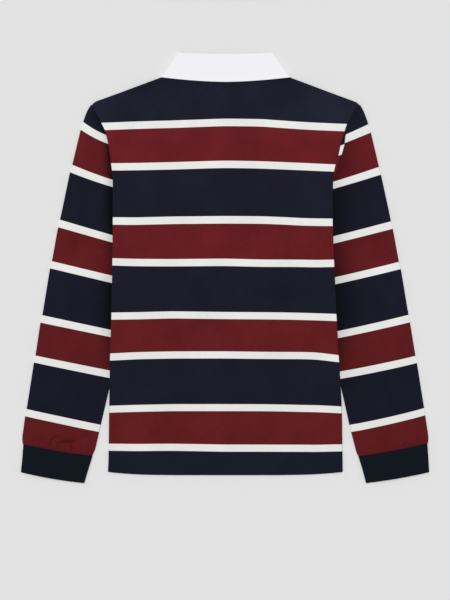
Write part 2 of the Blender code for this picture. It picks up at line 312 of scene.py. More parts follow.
# ---------------------------------------------------------------------------------------------------
# Meshes
# ---------------------------------------------------------------------------------------------------


def put(name: str, data: bpy.types.ID) -> bpy.types.Object:
    """Put an object in the scene.

    Args:
        name: Its name.
        data: Its mesh, lamp or camera.

    Returns:
        The object.
    """
    item = bpy.data.objects.new(name, data)
    bpy.context.scene.collection.objects.link(item)
    return item


def finish_mesh(name: str, mesh: bpy.types.Mesh) -> bpy.types.Object:
    """Turn faces outwards, shade smooth and put the mesh in the scene.

    Args:
        name: Name of the piece.
        mesh: Its mesh.

    Returns:
        The piece.
    """
    bm = bmesh.new()
    bm.from_mesh(mesh)
    bmesh.ops.recalc_face_normals(bm, faces=bm.faces)
    bm.to_mesh(mesh)
    bm.free()
    mesh.shade_smooth()
    return put(name, mesh)


def shell(
    name: str,
    outer: np.ndarray,
    inner: np.ndarray,
    cloth: np.ndarray,
    closed: bool = False,
    keep: np.ndarray | None = None,
) -> bpy.types.Object:
    """Make a closed thin shell from two matching grids of points.

    Both grids meet on the rim, so the shell's cut edges are rounded. With keep, only those cells are
    made and every edge gets a plain wall.

    Args:
        name: Name of the piece.
        outer: Rows by columns by 3, in millimetres.
        inner: The same on the other face.
        cloth: Rows by columns by 2, the place on the cloth in millimetres, or by 3 with the painted shading:
        0 for none, up to 1 for the deepest painted shade beside a seam, and below 0 for painted light.
        closed: True joins the last column to the first.
        keep: Which cells are made, or None for all.

    Returns:
        The new piece.
    """
    rows, columns = outer.shape[:2]
    top = np.arange(rows * columns).reshape(rows, columns)
    under = top + rows * columns
    if keep is None:
        rim = np.zeros((rows, columns), bool)
        rim[[0, -1]] = True
        if not closed:
            rim[:, [0, -1]] = True
        under = np.where(rim, top, under)
    if closed:
        top, under = (np.concatenate([grid, grid[:, :1]], axis=1) for grid in (top, under))

    def quads(grid: np.ndarray) -> np.ndarray:
        """The four corners of every cell."""
        corners = (grid[:-1, :-1], grid[:-1, 1:], grid[1:, 1:], grid[1:, :-1])
        return np.stack(corners, axis=-1).reshape(-1, 4)

    made = np.ones(len(quads(top)), bool) if keep is None else keep.reshape(-1)
    faces = [quads(top)[made], quads(under)[made][:, ::-1]]
    if keep is not None:
        padded = np.pad(keep, 1)
        for i, j in np.argwhere(keep):
            corners = ((i, j), (i, j + 1), (i + 1, j + 1), (i + 1, j))
            beside = (padded[i, j + 1], padded[i + 1, j + 2], padded[i + 2, j + 1], padded[i + 1, j])
            for k in np.flatnonzero(~np.array(beside)):
                a, b = corners[k], corners[(k + 1) % 4]
                faces.append(np.array([[top[b], top[a], under[a], under[b]]]))
    faces = np.concatenate(faces)
    points = np.concatenate([outer.reshape(-1, 3), inner.reshape(-1, 3)]) * MM
    places = np.concatenate([cloth.reshape(-1, cloth.shape[-1])] * 2)
    places[:, :2] *= MM
    used, faces = np.unique(faces, return_inverse=True)
    faces = faces.reshape(-1, 4)
    mesh = bpy.data.meshes.new(name)
    mesh.from_pydata(points[used].tolist(), [], faces.tolist())
    attribute = mesh.attributes.new("cloth", "FLOAT_VECTOR", "POINT")
    values = np.zeros((len(used), 3), np.float32)
    values[:, : places.shape[1]] = places[used]
    attribute.data.foreach_set("vector", values.reshape(-1))
    return finish_mesh(name, mesh)


def spaced(length: float, step: float, rim: tuple) -> np.ndarray:
    """Places along a length with fine steps at both ends.

    Args:
        length: The whole length.
        step: Spacing in the middle.
        rim: Distances from each end, rising from 0, that get a place of their own.

    Returns:
        Rising places from 0 to length.
    """
    last = rim[-1]
    count = max(2, round((length - 2 * last) / step))
    middle = np.linspace(last, length - last, count + 1)[1:-1]
    return np.concatenate([rim, middle, length - np.array(rim)[::-1]])


RIM = (0.0, 0.06, 0.2, 0.4, 0.7, 1.1, 1.7, 2.6)  # places near a rounded edge


def rim_drop(distance: np.ndarray, radius: float) -> np.ndarray:
    """How far a quarter-round edge lies below the top at this distance from the edge."""
    reach = np.clip(radius - distance, 0.0, radius)
    return radius - np.sqrt(np.maximum(radius**2 - reach**2, 0.0))


def wall_share(distance: np.ndarray, radius: float) -> np.ndarray:
    """Share of the full half thickness at this distance from a rounded edge."""
    reach = np.clip(1.0 - distance / radius, 0.0, 1.0)
    return np.sqrt(np.maximum(1.0 - reach**2, 0.0))


STITCH_FORM = (  # share of a stitch's length, share of its thickness, dip into the cloth in millimetres
    (-0.5, 0.25, 0.32),
    (-0.42, 0.75, 0.1),
    (-0.2, 1.0, 0.0),
    (0.2, 1.0, 0.0),
    (0.42, 0.75, 0.1),
    (0.5, 0.25, 0.32),
)
STITCH_SIDES = 6


@dataclass
class StitchRow:
    """One row of machine stitches: short thread bumps along a line of points."""

    points: np.ndarray  # on the cloth's surface, in millimetres
    pitch: float = 2.9
    length: float = 2.2
    radius: float = 0.24
    sink: float = 0.06  # how deep the thread's middle lies below the surface

    def parts(self) -> tuple[np.ndarray, np.ndarray]:
        """Work out every stitch of the row.

        Returns:
            The points and the four-cornered faces of all stitches.
        """
        line = np.asarray(self.points, float)
        steps = np.linalg.norm(np.diff(line, axis=0), axis=1)
        far = np.concatenate([[0.0], np.cumsum(steps)])
        count = max(1, int(far[-1] / self.pitch))
        starts = (np.arange(count) + 0.5) * far[-1] / count
        shares, bulge, dip = np.array(STITCH_FORM).T
        turns = np.arange(STITCH_SIDES) * 2 * math.pi / STITCH_SIDES
        one = self.faces()
        points, faces = [], []
        for number, start in enumerate(starts):
            at = start + shares * self.length
            centre = np.stack([np.interp(at, far, line[:, k]) for k in range(3)], axis=1)
            centre[:, 2] -= self.sink + dip
            way = centre[-1] - centre[0]
            way /= np.linalg.norm(way)
            flat = np.cross(way, (0.0, 0.0, 1.0))
            flat /= np.linalg.norm(flat)
            up = np.cross(flat, way)
            ring = np.cos(turns)[:, None] * flat + np.sin(turns)[:, None] * up
            points.append((centre[:, None] + self.radius * bulge[:, None, None] * ring).reshape(-1, 3))
            faces.append(one + number * len(STITCH_FORM) * STITCH_SIDES)
        return np.concatenate(points), np.concatenate(faces)

    @staticmethod
    def faces() -> np.ndarray:
        """Join the rings of one stitch, and close each six-sided end with two faces.

        Returns:
            The four-cornered faces.
        """
        made = []
        last = len(STITCH_FORM) - 1
        for first in range(0, last * STITCH_SIDES, STITCH_SIDES):
            for j in range(STITCH_SIDES):
                k = (j + 1) % STITCH_SIDES
                made.append([first + j, first + k, first + STITCH_SIDES + k, first + STITCH_SIDES + j])
        for first in (0, last * STITCH_SIDES):
            made.append([first, first + 1, first + 2, first + 3])
            made.append([first + 3, first + 4, first + 5, first])
        return np.array(made)


def sewn(name: str, rows: list[StitchRow]) -> bpy.types.Object:
    """Join rows of stitches into one thread piece.

    Args:
        name: Name of the piece.
        rows: The rows of stitches.

    Returns:
        The new piece.
    """
    points, faces, base = [], [], 0
    for row in rows:
        row_points, row_faces = row.parts()
        points.append(row_points)
        faces.append(row_faces + base)
        base += len(row_points)
    mesh = bpy.data.meshes.new(name)
    mesh.from_pydata((np.concatenate(points) * MM).tolist(), [], np.concatenate(faces).tolist())
    return finish_mesh(name, mesh)


# ---------------------------------------------------------------------------------------------------
# Node groups and finishes
# ---------------------------------------------------------------------------------------------------

Socket = bpy.types.NodeSocket
Colour = tuple[float, float, float]


def to_linear(colour: tuple[int, int, int]) -> Colour:
    """A display colour of 0 to 255 as scene-linear values."""
    return tuple(((c / 255 + 0.055) / 1.055) ** 2.4 if c > 10 else c / 255 / 12.92 for c in colour)


class Graph:
    """A node tree with short calls for the nodes that the finishes use."""

    def __init__(self, tree: bpy.types.NodeTree) -> None:
        """Take a tree to add nodes to."""
        self.tree = tree

    def node(self, kind: str, settings: dict | None = None, **inputs: object) -> bpy.types.Node:
        """Add a node.

        Args:
            kind: Node type without its ShaderNode prefix.
            settings: Properties of the node.
            **inputs: Values or sockets, by input name with _ for a space, or by i and a number.

        Returns:
            The node.
        """
        made = self.tree.nodes.new("ShaderNode" + kind)
        for key, value in (settings or {}).items():
            setattr(made, key, value)
        self.feed(made, **inputs)
        return made

    def feed(self, node: bpy.types.Node, **inputs: object) -> None:
        """Connect or set inputs of a node.

        Args:
            node: The node.
            **inputs: Values or sockets, by input name with _ for a space, or by i and a number.
        """
        for key, value in inputs.items():
            name = int(key[1:]) if key[1:].isdigit() and key[0] == "i" else key.replace("_", " ")
            if isinstance(value, bpy.types.NodeSocket):
                self.tree.links.new(value, node.inputs[name])
            else:
                node.inputs[name].default_value = value

    def math(self, operation: str, *values: object, clamp: bool = False) -> Socket:
        """The result of one Math node, held between 0 and 1 with clamp."""
        inputs = {f"i{k}": value for k, value in enumerate(values)}
        return self.node("Math", {"operation": operation, "use_clamp": clamp}, **inputs).outputs[0]

    def scaled(self, colour: object, factor: Socket) -> Socket:
        """A colour times a factor."""
        return self.node("VectorMath", {"operation": "SCALE"}, i0=colour, Scale=factor).outputs[0]

    def blend(self, share: object, first: object, second: object) -> Socket:
        """A colour between two colours."""
        return self.node("Mix", {"data_type": "RGBA"}, i0=share, i6=first, i7=second).outputs[2]


class Effect:
    """A shader node group that several finishes share, built once."""

    def __init__(self, name: str, inputs: dict, outputs: dict, build: Callable) -> None:
        """Build the group.

        Args:
            name: The group's name.
            inputs: Socket type and default value, by name.
            outputs: Socket type, by name.
            build: Takes a Graph and the inputs' sockets and returns the outputs' sockets, by name.
        """
        self.tree = bpy.data.node_groups.new(name, "ShaderNodeTree")
        for key, (kind, value) in inputs.items():
            socket = self.tree.interface.new_socket(key, in_out="INPUT", socket_type="NodeSocket" + kind)
            if value is not None:
                socket.default_value = value
        for key, kind in outputs.items():
            self.tree.interface.new_socket(key, in_out="OUTPUT", socket_type="NodeSocket" + kind)
        start = self.tree.nodes.new("NodeGroupInput")
        end = self.tree.nodes.new("NodeGroupOutput")
        for key, socket in build(Graph(self.tree), {key: start.outputs[key] for key in inputs}).items():
            self.tree.links.new(socket, end.inputs[key])

    def use(self, graph: Graph, **inputs: object) -> bpy.types.Node:
        """Place the group, with these inputs by name, in a material's graph."""
        return graph.node("Group", {"node_tree": self.tree}, **inputs)


def knit_relief(graph: Graph, given: dict) -> dict:
    """Rows of small V-shaped stitches, as on the face of a knitted cloth.

    Args:
        graph: The node graph to add to.
        given: The group's inputs by name.

    Returns:
        The group's outputs by name.
    """
    split = graph.node("SeparateXYZ", i0=given["Cloth"])
    across = graph.math("DIVIDE", split.outputs[0], given["Wale"])
    along = graph.math("DIVIDE", split.outputs[1], given["Course"])
    slant, fullness, dip = 1.2, 0.7, 0.25  # of each stitch's legs, and how far they dip between rows
    centred = graph.math("ABSOLUTE", graph.math("SUBTRACT", graph.math("FRACT", across), 0.5))
    leg = graph.math("ABSOLUTE", graph.math("SINE", graph.math("MULTIPLY", centred, 2 * math.pi)))
    slanted = graph.math("ADD", along, graph.math("MULTIPLY", centred, slant))
    row = graph.math("SINE", graph.math("MULTIPLY", slanted, 2 * math.pi))
    loop = graph.math("MULTIPLY_ADD", row, dip, 1.0 - dip)
    return {"Height": graph.math("MULTIPLY", graph.math("POWER", leg, fullness), loop)}


def twill_relief(graph: Graph, given: dict) -> dict:
    """Fine slanted ribs of a twill weave, cut across by its threads.

    Args:
        graph: The node graph to add to.
        given: The group's inputs by name.

    Returns:
        The group's outputs by name.
    """
    split = graph.node("SeparateXYZ", i0=given["Cloth"])
    across = graph.math("DIVIDE", split.outputs[0], given["Pitch"])
    along = graph.math("DIVIDE", split.outputs[1], given["Pitch"])
    rib_height, thread_height, threads = 0.35, 0.15, 3  # this many threads cross each rib
    rib = graph.math("SINE", graph.math("MULTIPLY", graph.math("ADD", across, along), 2 * math.pi))
    thread = graph.math("SINE", graph.math("MULTIPLY", across, 2 * threads * math.pi))
    ribs = graph.math("MULTIPLY_ADD", rib, rib_height, 0.5)
    return {"Height": graph.math("MULTIPLY_ADD", thread, thread_height, ribs)}


SPECK_SHARE = 0.2  # of the yarn's unevenness
SLUB_SHARE = 0.35


def yarn_shade(graph: Graph, given: dict) -> dict:
    """Uneven dye and yarn: broad soft patches, short slubs along the rows and fine specks.

    Args:
        graph: The node graph to add to.
        given: The group's inputs by name.

    Returns:
        The group's outputs by name.
    """
    cloth = given["Cloth"]
    split = graph.node("SeparateXYZ", i0=cloth)
    slimness = 0.18  # height of a slub as a share of its length across the cloth
    across = graph.math("MULTIPLY", split.outputs[0], slimness)
    stretched = graph.node("CombineXYZ", X=across, Y=split.outputs[1], Z=0.0).outputs[0]
    total = 0.0
    for vector, scale, detail, share in (
        (cloth, 1400.0, 1.0, SPECK_SHARE),
        (stretched, 900.0, 2.0, SLUB_SHARE),
        (cloth, 22.0, 2.0, 1.0 - SPECK_SHARE - SLUB_SHARE),
    ):
        noise = graph.node("TexNoise", {"noise_dimensions": "2D"}, Vector=vector, Scale=scale, Detail=detail)
        total = graph.math("MULTIPLY_ADD", noise.outputs[0], share, total)
    centred = graph.math("MULTIPLY", graph.math("SUBTRACT", total, 0.5), given["Amount"])
    return {"Factor": graph.math("ADD", 1.0, centred)}


def band_mask(graph: Graph, given: dict) -> dict:
    """1 between two places along the cloth and 0 outside them.

    Args:
        graph: The node graph to add to.
        given: The group's inputs by name.

    Returns:
        The group's outputs by name.
    """
    soft = 0.0003  # width of the change at each edge, in metres
    after = graph.math("DIVIDE", graph.math("SUBTRACT", given["Along"], given["Start"]), soft)
    before = graph.math("DIVIDE", graph.math("SUBTRACT", given["End"], given["Along"]), soft)
    inside = graph.math("MINIMUM", after, before)
    return {"Mask": graph.math("ADD", inside, 0.5, clamp=True)}


@dataclass(frozen=True)
class Library:
    """The shared effects, built once."""

    knit: Effect
    twill: Effect
    yarn: Effect
    band: Effect

    @staticmethod
    def build() -> "Library":
        """Build every shared node group.

        Returns:
            The library.
        """
        vector = ("Vector", None)
        return Library(
            knit=Effect(
                "knit_relief",
                {"Cloth": vector, "Wale": ("Float", 0.001), "Course": ("Float", 0.0008)},
                {"Height": "Float"},
                knit_relief,
            ),
            twill=Effect(
                "twill_relief",
                {"Cloth": vector, "Pitch": ("Float", 0.0008)},
                {"Height": "Float"},
                twill_relief,
            ),
            yarn=Effect(
                "yarn_shade",
                {"Cloth": vector, "Amount": ("Float", 0.2)},
                {"Factor": "Float"},
                yarn_shade,
            ),
            band=Effect(
                "band_mask",
                {"Along": ("Float", 0.0), "Start": ("Float", 0.0), "End": ("Float", 0.01)},
                {"Mask": "Float"},
                band_mask,
            ),
        )


class Band(NamedTuple):
    """One off-white band of the body: its width and the heights of its middle line."""

    width: float
    middle: tuple  # at each of BAND_PLACES

    @property
    def centre(self) -> float:
        """Height of its middle line halfway across the shirt."""
        return self.middle[BAND_PLACES.index(0.0)]


BAND_PLACES = (-140.0, -114.0, -68.0, 0.0, 48.0, 78.0, 98.0, 117.0, 137.0)
BANDS = (
    Band(9.5, (182.1, 183.1, 184.2, 186.4, 185.9, 183.8, 182.5, 181.6, 180.7)),
    Band(9.4, (129.8, 130.1, 131.1, 132.8, 132.2, 131.0, 130.2, 129.3, 128.4)),
    Band(9.6, (60.3, 60.1, 61.4, 62.0, 61.7, 60.5, 59.2, 58.8, 58.6)),
    Band(9.4, (8.0, 7.2, 7.0, 7.6, 6.4, 6.4, 6.2, 5.8, 6.2)),
    Band(9.1, (-61.2, -60.9, -59.7, -60.6, -60.9, -61.2, -61.7, -62.2, -62.9)),
    Band(9.1, (-113.3, -112.0, -111.1, -111.0, -111.6, -111.8, -111.8, -112.3, -114.7)),
    Band(8.9, (-180.2, -179.5, -178.5, -178.5, -178.6, -179.0, -179.6, -179.8, -180.7)),
    Band(9.1, (-229.2, -229.6, -229.2, -230.4, -230.4, -230.5, -230.5, -230.7, -230.2)),
)
CLOTH_TOP = 80.0  # cloth above the first band, from where the place along the cloth is counted
CLOTH_LENGTH = 560.0


def band_edges() -> list[float]:
    """Places along the cloth of every band edge, upper and lower in turn.

    Returns:
        Places, in millimetres.
    """
    edges = []
    for band in BANDS:
        middle = CLOTH_TOP + BANDS[0].width / 2 + BANDS[0].centre - band.centre
        edges += [middle - band.width / 2, middle + band.width / 2]
    return edges


def along_body(x: np.ndarray, y: np.ndarray) -> np.ndarray:
    """Place along the cloth of points on the body.

    Args:
        x: Places across the shirt, in millimetres.
        y: Places along the shirt, in millimetres.

    Returns:
        Places along the cloth, which meet the table at each band edge.
    """
    lines = []
    for band in BANDS:
        middle = eased(x, BAND_PLACES, band.middle, 12.0)
        lines += [middle + band.width / 2, middle - band.width / 2]
    edges = band_edges()
    place = edges[0] + (lines[0] - y)
    for k in range(len(lines) - 1):
        share = (lines[k] - y) / (lines[k] - lines[k + 1])
        inside = edges[k] + share * (edges[k + 1] - edges[k])
        place = np.where(y < lines[k], inside, place)
    return np.where(y < lines[-1], edges[-1] + (lines[-1] - y), place)


MATT_SHINE = 0.08  # cloth, thread and rubber hardly shine


def start_material(name: str) -> tuple[bpy.types.Material, Graph, bpy.types.Node]:
    """Make a plain material.

    Args:
        name: The material's name.

    Returns:
        The material, its graph and its Principled shader.
    """
    material = bpy.data.materials.new(name)
    material.use_nodes = True
    return material, Graph(material.node_tree), material.node_tree.nodes["Principled BSDF"]


class Finish:
    """A matt finish: a colour that the yarn makes a little uneven, over a fine relief."""

    colour: Colour
    unevenness: float
    roughness: float
    depth: float  # of the relief, in metres
    sheen: float = 0.0

    def place(self, graph: Graph) -> Socket:
        """The place on the cloth, in metres, with the painted shading as its third value."""
        return graph.node("Attribute", {"attribute_name": "cloth"}).outputs["Vector"]

    def shade(self, library: Library, graph: Graph, place: Socket, yarn: Socket) -> Socket:
        """The base colour, from the yarn's unevenness of about 1."""
        return graph.scaled(self.colour, yarn)

    def relief(self, library: Library, graph: Graph, place: Socket, yarn: Socket) -> Socket:
        """The height of the surface, from 0 to 1."""
        raise NotImplementedError

    def material(self, library: Library, name: str) -> bpy.types.Material:
        """Build the material.

        Args:
            library: The shared effects.
            name: The material's name.

        Returns:
            The material.
        """
        material, graph, shader = start_material(name)
        place = self.place(graph)
        yarn = library.yarn.use(graph, Cloth=place, Amount=self.unevenness).outputs[0]
        colour = self.shade(library, graph, place, yarn)
        relief = self.relief(library, graph, place, yarn)
        bump = graph.node("Bump", Height=relief, Distance=self.depth, Strength=1.0)
        graph.feed(shader, Base_Color=colour, Normal=bump.outputs[0], Roughness=self.roughness)
        graph.feed(shader, Specular_IOR_Level=MATT_SHINE, Sheen_Weight=self.sheen)
        return material


class Knitted(Finish):
    """A knitted finish."""

    wale: float  # width and height of one knitted stitch, in metres
    course: float
    slub: float  # how much the yarn's unevenness adds to the relief

    def relief(self, library: Library, graph: Graph, place: Socket, yarn: Socket) -> Socket:
        """Knitted stitches with uneven yarn."""
        knit = library.knit.use(graph, Cloth=place, Wale=self.wale, Course=self.course).outputs[0]
        return graph.math("MULTIPLY_ADD", yarn, self.slub, knit)


@dataclass(frozen=True)
class BandedJersey(Knitted):
    """Heavy cotton jersey in navy and burgundy, parted by off-white bands."""

    # The yoke colours are painted lighter than the hem colours: painted light falling from above.
    navy: Colour  # at the yoke
    navy_hem: Colour  # at the hem
    burgundy: Colour
    burgundy_hem: Colour
    white: Colour
    white_shade_start: float = 0.14  # the painted shade from which the white bands are darkened too
    white_painted_shade: float = 0.4  # how much of the painted shade the white bands show
    painted_top_light: float = 0.07  # painted light: how much lighter the cloth is painted at the yoke than at the hem, as if lit from above
    heather: float = 2.2  # how much more uneven the dyed yarn is than the white yarn
    unevenness: float = 0.34
    wale: float = 0.00105
    course: float = 0.00085
    slub: float = 0.5
    roughness: float = 0.92
    depth: float = 0.00012
    sheen: float = 0.03

    def covered(self, library: Library, graph: Graph, along: Socket, spans: Iterable) -> Socket:
        """Find the cloth within any of these spans.

        Args:
            library: The shared effects.
            graph: The material's graph.
            along: The place along the cloth.
            spans: Where each span starts and ends, in metres.

        Returns:
            1 within them and 0 elsewhere.
        """
        total = 0.0
        for start, end in spans:
            mask = library.band.use(graph, Along=along, Start=start, End=end).outputs[0]
            total = graph.math("ADD", mask, total)
        return total

    def shade(self, library: Library, graph: Graph, place: Socket, yarn: Socket) -> Socket:
        """Colour the bands and the cloth between them, with painted shading from the cloth's third value
        and painted light towards the yoke.

        Args:
            library: The shared effects.
            graph: The material's graph.
            place: The place on the cloth, with the painted shading.
            yarn: The yarn's unevenness.

        Returns:
            The colour.
        """
        split = graph.node("SeparateXYZ", i0=place)
        along, painted_shading = split.outputs[1], split.outputs[2]
        edges = [edge * MM for edge in band_edges()]
        white = self.covered(library, graph, along, zip(edges[::2], edges[1::2]))
        burgundy = self.covered(library, graph, along, zip(edges[::4], edges[3::4]))
        down = graph.math("DIVIDE", along, CLOTH_LENGTH * MM, clamp=True)
        navy = graph.blend(down, (*self.navy, 1), (*self.navy_hem, 1))
        red = graph.blend(down, (*self.burgundy, 1), (*self.burgundy_hem, 1))
        heather = graph.math("MULTIPLY_ADD", yarn, self.heather, 1.0 - self.heather)
        # Painted shading: the cloth's third value darkens the dyed cloth fully, and the white bands only
        # past where their painted shade starts; below 0 it paints light on the dyed cloth.
        left = graph.math("SUBTRACT", 1.0, painted_shading)
        dark = graph.scaled(graph.blend(burgundy, navy, red), graph.math("MULTIPLY", heather, left))
        deep = graph.math("MAXIMUM", graph.math("SUBTRACT", painted_shading, self.white_shade_start), 0.0)
        light = graph.scaled(self.white, graph.math("MULTIPLY_ADD", deep, -self.white_painted_shade, 1.0))
        # Painted light: the whole cloth is painted lighter towards the yoke, as if lit from above.
        painted_top_light = graph.math("MULTIPLY_ADD", along, -self.painted_top_light / (CLOTH_LENGTH * MM), 1.0 + self.painted_top_light / 2)
        return graph.scaled(graph.blend(white, dark, light), graph.math("MULTIPLY", yarn, painted_top_light))


@dataclass(frozen=True)
class RibCuff(Knitted):
    """Fine ribbed knit of the cuffs."""

    colour: Colour
    unevenness: float = 0.2
    wale: float = 0.0012
    course: float = 0.0009
    slub: float = 0.4
    roughness: float = 0.92
    depth: float = 0.00016
    sheen: float = 0.03


@dataclass(frozen=True)
class CottonTwill(Finish):
    """White cotton twill of the collar and placket."""

    colour: Colour
    unevenness: float = 0.05
    pitch: float = 0.0009  # from one rib of the weave to the next, in metres
    roughness: float = 0.85
    depth: float = 0.00008

    def relief(self, library: Library, graph: Graph, place: Socket, yarn: Socket) -> Socket:
        """The twill's ribs."""
        return library.twill.use(graph, Cloth=place, Pitch=self.pitch).outputs[0]


@dataclass(frozen=True)
class Thread(Finish):
    """Sewing thread with its fine twist."""

    colour: Colour
    unevenness: float = 0.3
    twists: float = 900.0  # scale of the twist
    roughness: float = 0.6
    depth: float = 0.00003

    def place(self, graph: Graph) -> Socket:
        """The place in the shirt's own space, in metres."""
        return graph.node("NewGeometry").outputs["Position"]

    def relief(self, library: Library, graph: Graph, place: Socket, yarn: Socket) -> Socket:
        """The slanted strands of the thread."""
        slanted = {"bands_direction": "DIAGONAL"}
        return graph.node("TexWave", slanted, Vector=place, Scale=self.twists).outputs[1]


@dataclass(frozen=True)
class SoftRubber(Finish):
    """Matt white rubber of the buttons."""

    colour: Colour
    unevenness: float = 0.08
    grains: float = 1500.0  # scale of the grain
    roughness: float = 0.5
    depth: float = 0.00002

    def place(self, graph: Graph) -> Socket:
        """The place in the shirt's own space, in metres."""
        return graph.node("NewGeometry").outputs["Position"]

    def relief(self, library: Library, graph: Graph, place: Socket, yarn: Socket) -> Socket:
        """A fine grain."""
        return graph.node("TexNoise", Vector=place, Scale=self.grains).outputs[0]


def dress(piece: bpy.types.Object, material: bpy.types.Material, slot: Slot, *nodes: str) -> None:
    """Give a piece its material and its body, and hide the solids that it stands for.

    Args:
        piece: The piece.
        material: Its material.
        slot: Not used. The record's slot.
        *nodes: The solids that it replaces.
    """
    piece.data.materials.clear()
    piece.data.materials.append(material)
    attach(piece, BODY)
    if nodes:
        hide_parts(*nodes)
    LOG.info("%s: %d faces", piece.name, len(piece.data.polygons))


@dataclass(frozen=True)
class Wardrobe:
    """Every material of the shirt."""

    jersey: bpy.types.Material
    cuff: bpy.types.Material
    twill: bpy.types.Material
    rubber: bpy.types.Material
    dark_thread: bpy.types.Material
    white_thread: bpy.types.Material

    @staticmethod
    def build() -> "Wardrobe":
        """Build every finish.

        Returns:
            The wardrobe.
        """
        library = Library.build()
        jersey = BandedJersey(
            navy=to_linear((27, 27, 41)),
            navy_hem=to_linear((23, 26, 40)),
            burgundy=to_linear((102, 28, 34)),
            burgundy_hem=to_linear((100, 28, 30)),
            white=to_linear((235, 235, 232)),
        )
        return Wardrobe(
            jersey=jersey.material(library, "banded_jersey"),
            cuff=RibCuff(to_linear((14, 19, 28))).material(library, "ribbed_cuff"),
            twill=CottonTwill(to_linear((243, 242, 247))).material(library, "cotton_twill"),
            rubber=SoftRubber(to_linear((232, 232, 228))).material(library, "soft_rubber"),
            dark_thread=Thread(to_linear((26, 28, 40))).material(library, "navy_thread"),
            white_thread=Thread(to_linear((238, 238, 240))).material(library, "white_thread"),
        )


# ---------------------------------------------------------------------------------------------------
# Body
# ---------------------------------------------------------------------------------------------------

LEFT_SIDE = (  # height, place across: armhole seam, then side
    (209.5, -170.3),
    (189.7, -160.6),
    (176.5, -153.7),
    (169.2, -151.8),
    (156.4, -148.9),
    (139.4, -146.7),
    (124.4, -144.9),
    (112.9, -143.7),
    (55.3, -143.7),
    (-13.8, -144.5),
    (-61.2, -145.5),
    (-111.1, -147.2),
    (-152.1, -147.8),
    (-184.1, -148.4),
    (-245.0, -149.3),
    (-260.8, -150.0),
)
RIGHT_SIDE = (
    (210.0, 171.6),
    (195.5, 162.6),
    (184.6, 156.3),
    (174.3, 153.1),
    (159.0, 148.2),
    (146.2, 145.9),
    (130.8, 141.3),
    (116.7, 138.5),
    (55.3, 137.9),
    (-2.3, 140.2),
    (-61.2, 142.8),
    (-113.7, 145.8),
    (-152.1, 148.1),
    (-184.1, 149.8),
    (-260.8, 150.9),
)
UNDERARM = 53.0  # the armhole seam ends here
HEM_SIDE = -260.8
HEM_BOW = 4.3
HEM_GAP = 1.7  # from the last band down to the hem's stitches
NECK_HALF = 68.0
NECK_TOP = 249.0
FRONT_TOP = 0.6  # the back's rolled edges sink no lower than this
SHOULDER_DROOP = (2.4, 1.6)  # how far the left and the right shoulder round off at the tip
SHOULDER_RISE = (0.4, 0.9)  # how far each stands above the neck's top, beside the collar
TIP_LENGTH = 6.0  # length of the rounding at the tip
SIDE_ROUNDING = 5.0
HEM_ROUNDING = 26.0
BODY_SIDES = {Side.LEFT: LEFT_SIDE, Side.RIGHT: RIGHT_SIDE}


def side_line(side: Side, y: np.ndarray) -> np.ndarray:
    """Where the body's edge lies across the shirt at these heights."""
    heights, places = zip(*BODY_SIDES[side][::-1])
    return eased(y, heights, places, SIDE_ROUNDING)


def hem_seam(x: np.ndarray) -> np.ndarray:
    """Height of the hem's seam, which runs just below the last band."""
    last = BANDS[-1]
    return eased(x, BAND_PLACES, last.middle, HEM_ROUNDING) - last.width / 2 - HEM_GAP


def body_painted_shading(x: np.ndarray, y: np.ndarray) -> np.ndarray:
    """How deep the tone of the body's cloth is.

    It has painted light over the yoke, the shoulders and the shoulder blades, painted shade over the lower
    back and at the collar's corners, and a painted shadow under the collar.

    Args:
        x: Places across the shirt, in millimetres.
        y: Places along the shirt, in millimetres.

    Returns:
        Tones, 0 for the plain colour.
    """
    # Painted light: left, right, shoulders, yoke and blades. Painted shade: lower_back and corners. Painted
    # shadow under the collar: neck.
    left = 0.14 * bell(x + 156.0, 14.0) + 0.04 * smooth_step(x, -60.0, -130.0)
    right = 0.3 * bell(x - 138.0, 32.0)
    shoulders = (left + right) * smooth_step(y, 158.0, 196.0)
    yoke = 0.13 * smooth_step(y, 150.0, 225.0)
    lower_back = 0.05 * smooth_step(y, 80.0, -40.0)
    neck = 0.3 * bell(x, 60.0) * bell(y - 243.0, 9.0)
    corners = 0.15 * bell(np.abs(x - 4.0) - 84.0, 34.0) * smooth_step(y, 196.0, 232.0)
    blades = 0.08 * bell(np.abs(x - 6.0) - 86.0, 38.0) * bell(y - 150.0, 28.0)
    return lower_back + neck + corners - yoke - shoulders - blades


BODY_CREASES = (
    Crease(-128.0, 222.0, 22.0, 70.0, 5.0, 0.5),
    Crease(-132.0, 140.0, 62.0, 60.0, 6.0, 0.45),
    Crease(126.0, 146.0, -58.0, 66.0, 6.0, 0.45),
    Crease(-118.0, 60.0, 70.0, 90.0, 8.0, 0.5),
    Crease(118.0, 52.0, -74.0, 84.0, 8.0, 0.45),
    Crease(-131.0, -58.0, 78.0, 62.0, 5.0, 0.45),
    Crease(124.0, -104.0, -80.0, 56.0, 5.0, 0.45),
    Crease(6.0, 222.0, 4.0, 64.0, 7.0, 0.4),
    Crease(40.0, -40.0, -35.0, 120.0, 14.0, 0.35),
    Crease(-52.0, -130.0, 28.0, 110.0, 12.0, 0.3),
    Crease(-30.0, 80.0, -12.0, 120.0, 14.0, 0.3),
)


